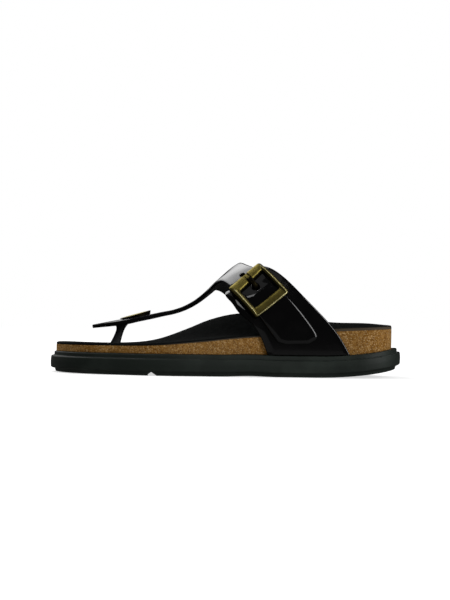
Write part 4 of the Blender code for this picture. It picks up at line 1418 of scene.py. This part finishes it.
def addHingeBar(bm):  # down from the frame, under the T and up again
    floor, half, steps = buckle["floor"] + buckle["thickness"] / 2, buckle["barHalf"], buckle["barSteps"]
    path = [(-half, floor, 90.0), (-half, leather / 2, 45.0)]
    path += [(half * (k / steps - 1), leather / 2, 0.0) for k in range(1, 2 * steps)]
    path += [(half, leather / 2, -45.0), (half, floor, -90.0)]
    rings = []
    for across, height, tilt in path:
        lean = math.radians(tilt)
        mitre = 1 / max(math.cos(lean), abs(math.sin(lean)))
        ring = []
        for k in range(buckle["barSides"]):
            turn = math.tau * k / buckle["barSides"]
            away = buckle["barRadius"] * mitre * math.sin(turn)
            place = (across + away * math.sin(lean), height + away * math.cos(lean))
            ring.append(onArm(buckle["barRadius"] * math.cos(turn), *place))
        rings.append(ring)
    capEnds(bm, joinRings(bm, rings))


def makeBuckle():
    bm = bmesh.new()
    addFrame(bm)
    addHingeBar(bm)
    piece = newPiece("buckleBrass", bm, [brass], buckle["smoothAngle"], recalc=True)
    settle(piece, "aged_brass", "buckle_frame")


def makeProng():
    bm = bmesh.new()
    line = prong["line"].rows
    fine = []
    for before, after in zip(line, line[1:]):
        fine += [[a + (b - a) * t for a, b in zip(before, after)] for t in prong["between"]]
    fine.append(list(line[-1]))
    for _ in range(prong["smoothing"]):
        threes = zip(fine, fine[1:], fine[2:])
        inner = [[(a + 2 * b + c) / 4 for a, b, c in zip(*three)] for three in threes]
        fine = [fine[0], *inner, fine[-1]]

    def squared(t):
        return math.copysign(abs(t) ** prong["roundness"], t)

    rings = []
    for k, (along, height, half) in enumerate(fine):
        before, after = fine[max(k - 1, 0)], fine[min(k + 1, len(fine) - 1)]
        run, rise = after[0] - before[0], after[1] - before[1]
        length = math.hypot(run, rise)
        ring = []
        for side in range(prong["sides"]):
            turn = math.tau * (side + 0.5) / prong["sides"]
            away = prong["thickness"] / 2 * squared(math.sin(turn))
            across = half * squared(math.cos(turn))
            ring.append(onArm(along - away * rise / length, across, height + away * run / length))
        rings.append(ring)
    capEnds(bm, joinRings(bm, rings))
    piece = newPiece("prongBrass", bm, [brass], recalc=True)
    tip = onArm(line[0][0], 0.0, line[0][1]) * mm

    # bright at the tip, with painted shade on the prong's body inside the window
    def tipWearAndShade(v):
        away = (v.co - tip).length / mm
        return prong["tipWornAndLit"] * (1 - smoothStep((away - prong["litReach"]) / prong["fadeToShade"]))

    markWearAndLight(piece, tipWearAndShade)
    settle(piece, "aged_brass", "buckle_prong")


makeBuckle()
makeProng()

# Floor, light and camera, in metres
stage = dict(
    corners=((-3.0, -4.0), (3.0, -4.0), (3.0, 0.86), (-3.0, 0.86)),
    floorColour=(0.86, 0.86, 0.86),
    mottle=0.985,
    mottleSize=3.0,
    mirrored=0.08,  # the floor as the gloss sees it
    glow=0.62,
    glowFrom=0.25,  # the glow rises to a white ground from here
    glowTo=1.2,
    fill=0.55,  # light sent up to the shoe
    world=0.02,
)
lights = dict(  # place, target, width, height, power, and the softbox's fade to its lower edge
    backSoftbox=((0.85, -0.675, 0.80), (0.85, -0.20, 0.035), 1.44, 1.7, 17.5, (0.0, 0.56, 0.12, 1.0)),
    frontStrip=((0.50, 0.42, 1.10), (0.25, 0.0, 0.05), 1.4, 0.6, 0.32),
    heelSide=((-1.15, 0.75, 0.55), (-0.03, 0.0, 0.03), 0.9, 1.1, 12.0),
    toeSide=((0.26, 1.05, 0.78), (0.0, 0.03, 0.05), 0.70, 0.32, 1.0),
    heelCard=((-0.59, -0.24, 1.08), (-0.03, 0.03, 0.06), 0.45, 0.45, 1.6),
)
view = dict(
    place=(0.0, 0.9, 0.04),
    roll=1.0,  # degrees
    lens=71.4,
    sensor=36.0,
    shift=(-0.5, 21.3),  # pixels
    imageHeight=600,
)


def makeFloor():
    bm = bmesh.new()
    bm.faces.new([bm.verts.new((x, y, 0.0)) for x, y in stage["corners"]])
    fixed = dict(Roughness=0.9, Specular_IOR_Level=0.1, Emission_Strength=1.0)
    material, tree, shader, place = newMaterial("pale floor", **fixed)
    cloud = addRange(tree, addNoise(tree, place, stage["mottleSize"]), *grainRange)
    pale = stage["floorColour"]
    mottled = mixColour(tree, cloud, pale, tuple(c * stage["mottle"] for c in pale))
    rays = addNode(tree, "ShaderNodeLightPath").outputs
    seen = rays["Is Camera Ray"]
    colour = mixColour(tree, seen, (0.0, 0.0, 0.0), mottled)
    away = addNode(tree, "ShaderNodeVectorMath", {0: place}, operation="LENGTH").outputs["Value"]
    glow = addRange(tree, away, stage["glowFrom"], stage["glowTo"], stage["glow"], 1.0)
    fill = addRange(tree, rays["Is Diffuse Ray"], 0.0, 1.0, 0.0, stage["fill"])
    fill = addMath(tree, "MULTIPLY_ADD", rays["Is Glossy Ray"], stage["mirrored"], fill)
    linkShader(tree, shader, Base_Color=colour, Emission_Color=addMath(tree, "MULTIPLY_ADD", glow, seen, fill))
    floor = newPiece("floor", bm, [material])


def addLight(name, place, target, width, height, power, fade=None):
    light = bpy.data.lights.new(name, "AREA")
    light.shape = "RECTANGLE"
    light.size, light.size_y = width, height
    light.energy = power
    if fade:
        light.use_nodes = True
        tree = light.node_tree
        spot = addNode(tree, "ShaderNodeNewGeometry").outputs["Parametric"]
        rise = addNode(tree, "ShaderNodeSeparateXYZ", {"Vector": spot}).outputs["Y"]
        tree.links.new(addRange(tree, rise, *fade), tree.nodes["Emission"].inputs["Strength"])
    lamp = bpy.data.objects.new(name, light)
    lamp.location = place
    lamp.rotation_mode = "QUATERNION"
    lamp.rotation_quaternion = (Vector(target) - Vector(place)).to_track_quat("-Z", "Y")
    lamp.visible_camera = False
    bpy.context.scene.collection.objects.link(lamp)


def makeLight():
    for name, values in lights.items():
        addLight(name, *values)
    world = bpy.data.worlds.new("studio")
    bpy.context.scene.world = world
    world.use_nodes = True
    tree = world.node_tree
    ray = addNode(tree, "ShaderNodeLightPath").outputs["Is Camera Ray"]
    strength = addRange(tree, ray, 0.0, 1.0, stage["world"], 1.0)
    tree.nodes["Background"].inputs["Color"].default_value = (1.0, 1.0, 1.0, 1.0)
    tree.links.new(strength, tree.nodes["Background"].inputs["Strength"])
    settings = bpy.context.scene.view_settings
    settings.view_transform = "Standard"
    settings.look = "None"


def makeCamera():
    data = bpy.data.cameras.new("camera")
    data.sensor_fit = "VERTICAL"
    data.sensor_height = view["sensor"]
    data.lens = view["lens"]
    data.shift_x, data.shift_y = (pixels / view["imageHeight"] for pixels in view["shift"])
    camera = bpy.data.objects.new("camera", data)
    roll = math.radians(view["roll"])
    right, up, back = Vector((-1, 0, 0)), Vector((0, 0, 1)), Vector((0, 1, 0))
    turned = (right * math.cos(roll) + up * math.sin(roll), up * math.cos(roll) - right * math.sin(roll), back)
    camera.matrix_world = Matrix.Translation(view["place"]) @ Matrix(turned).transposed().to_4x4()
    bpy.context.scene.collection.objects.link(camera)
    bpy.context.scene.camera = camera


makeFloor()
makeLight()
makeCamera()
print("stage ready")
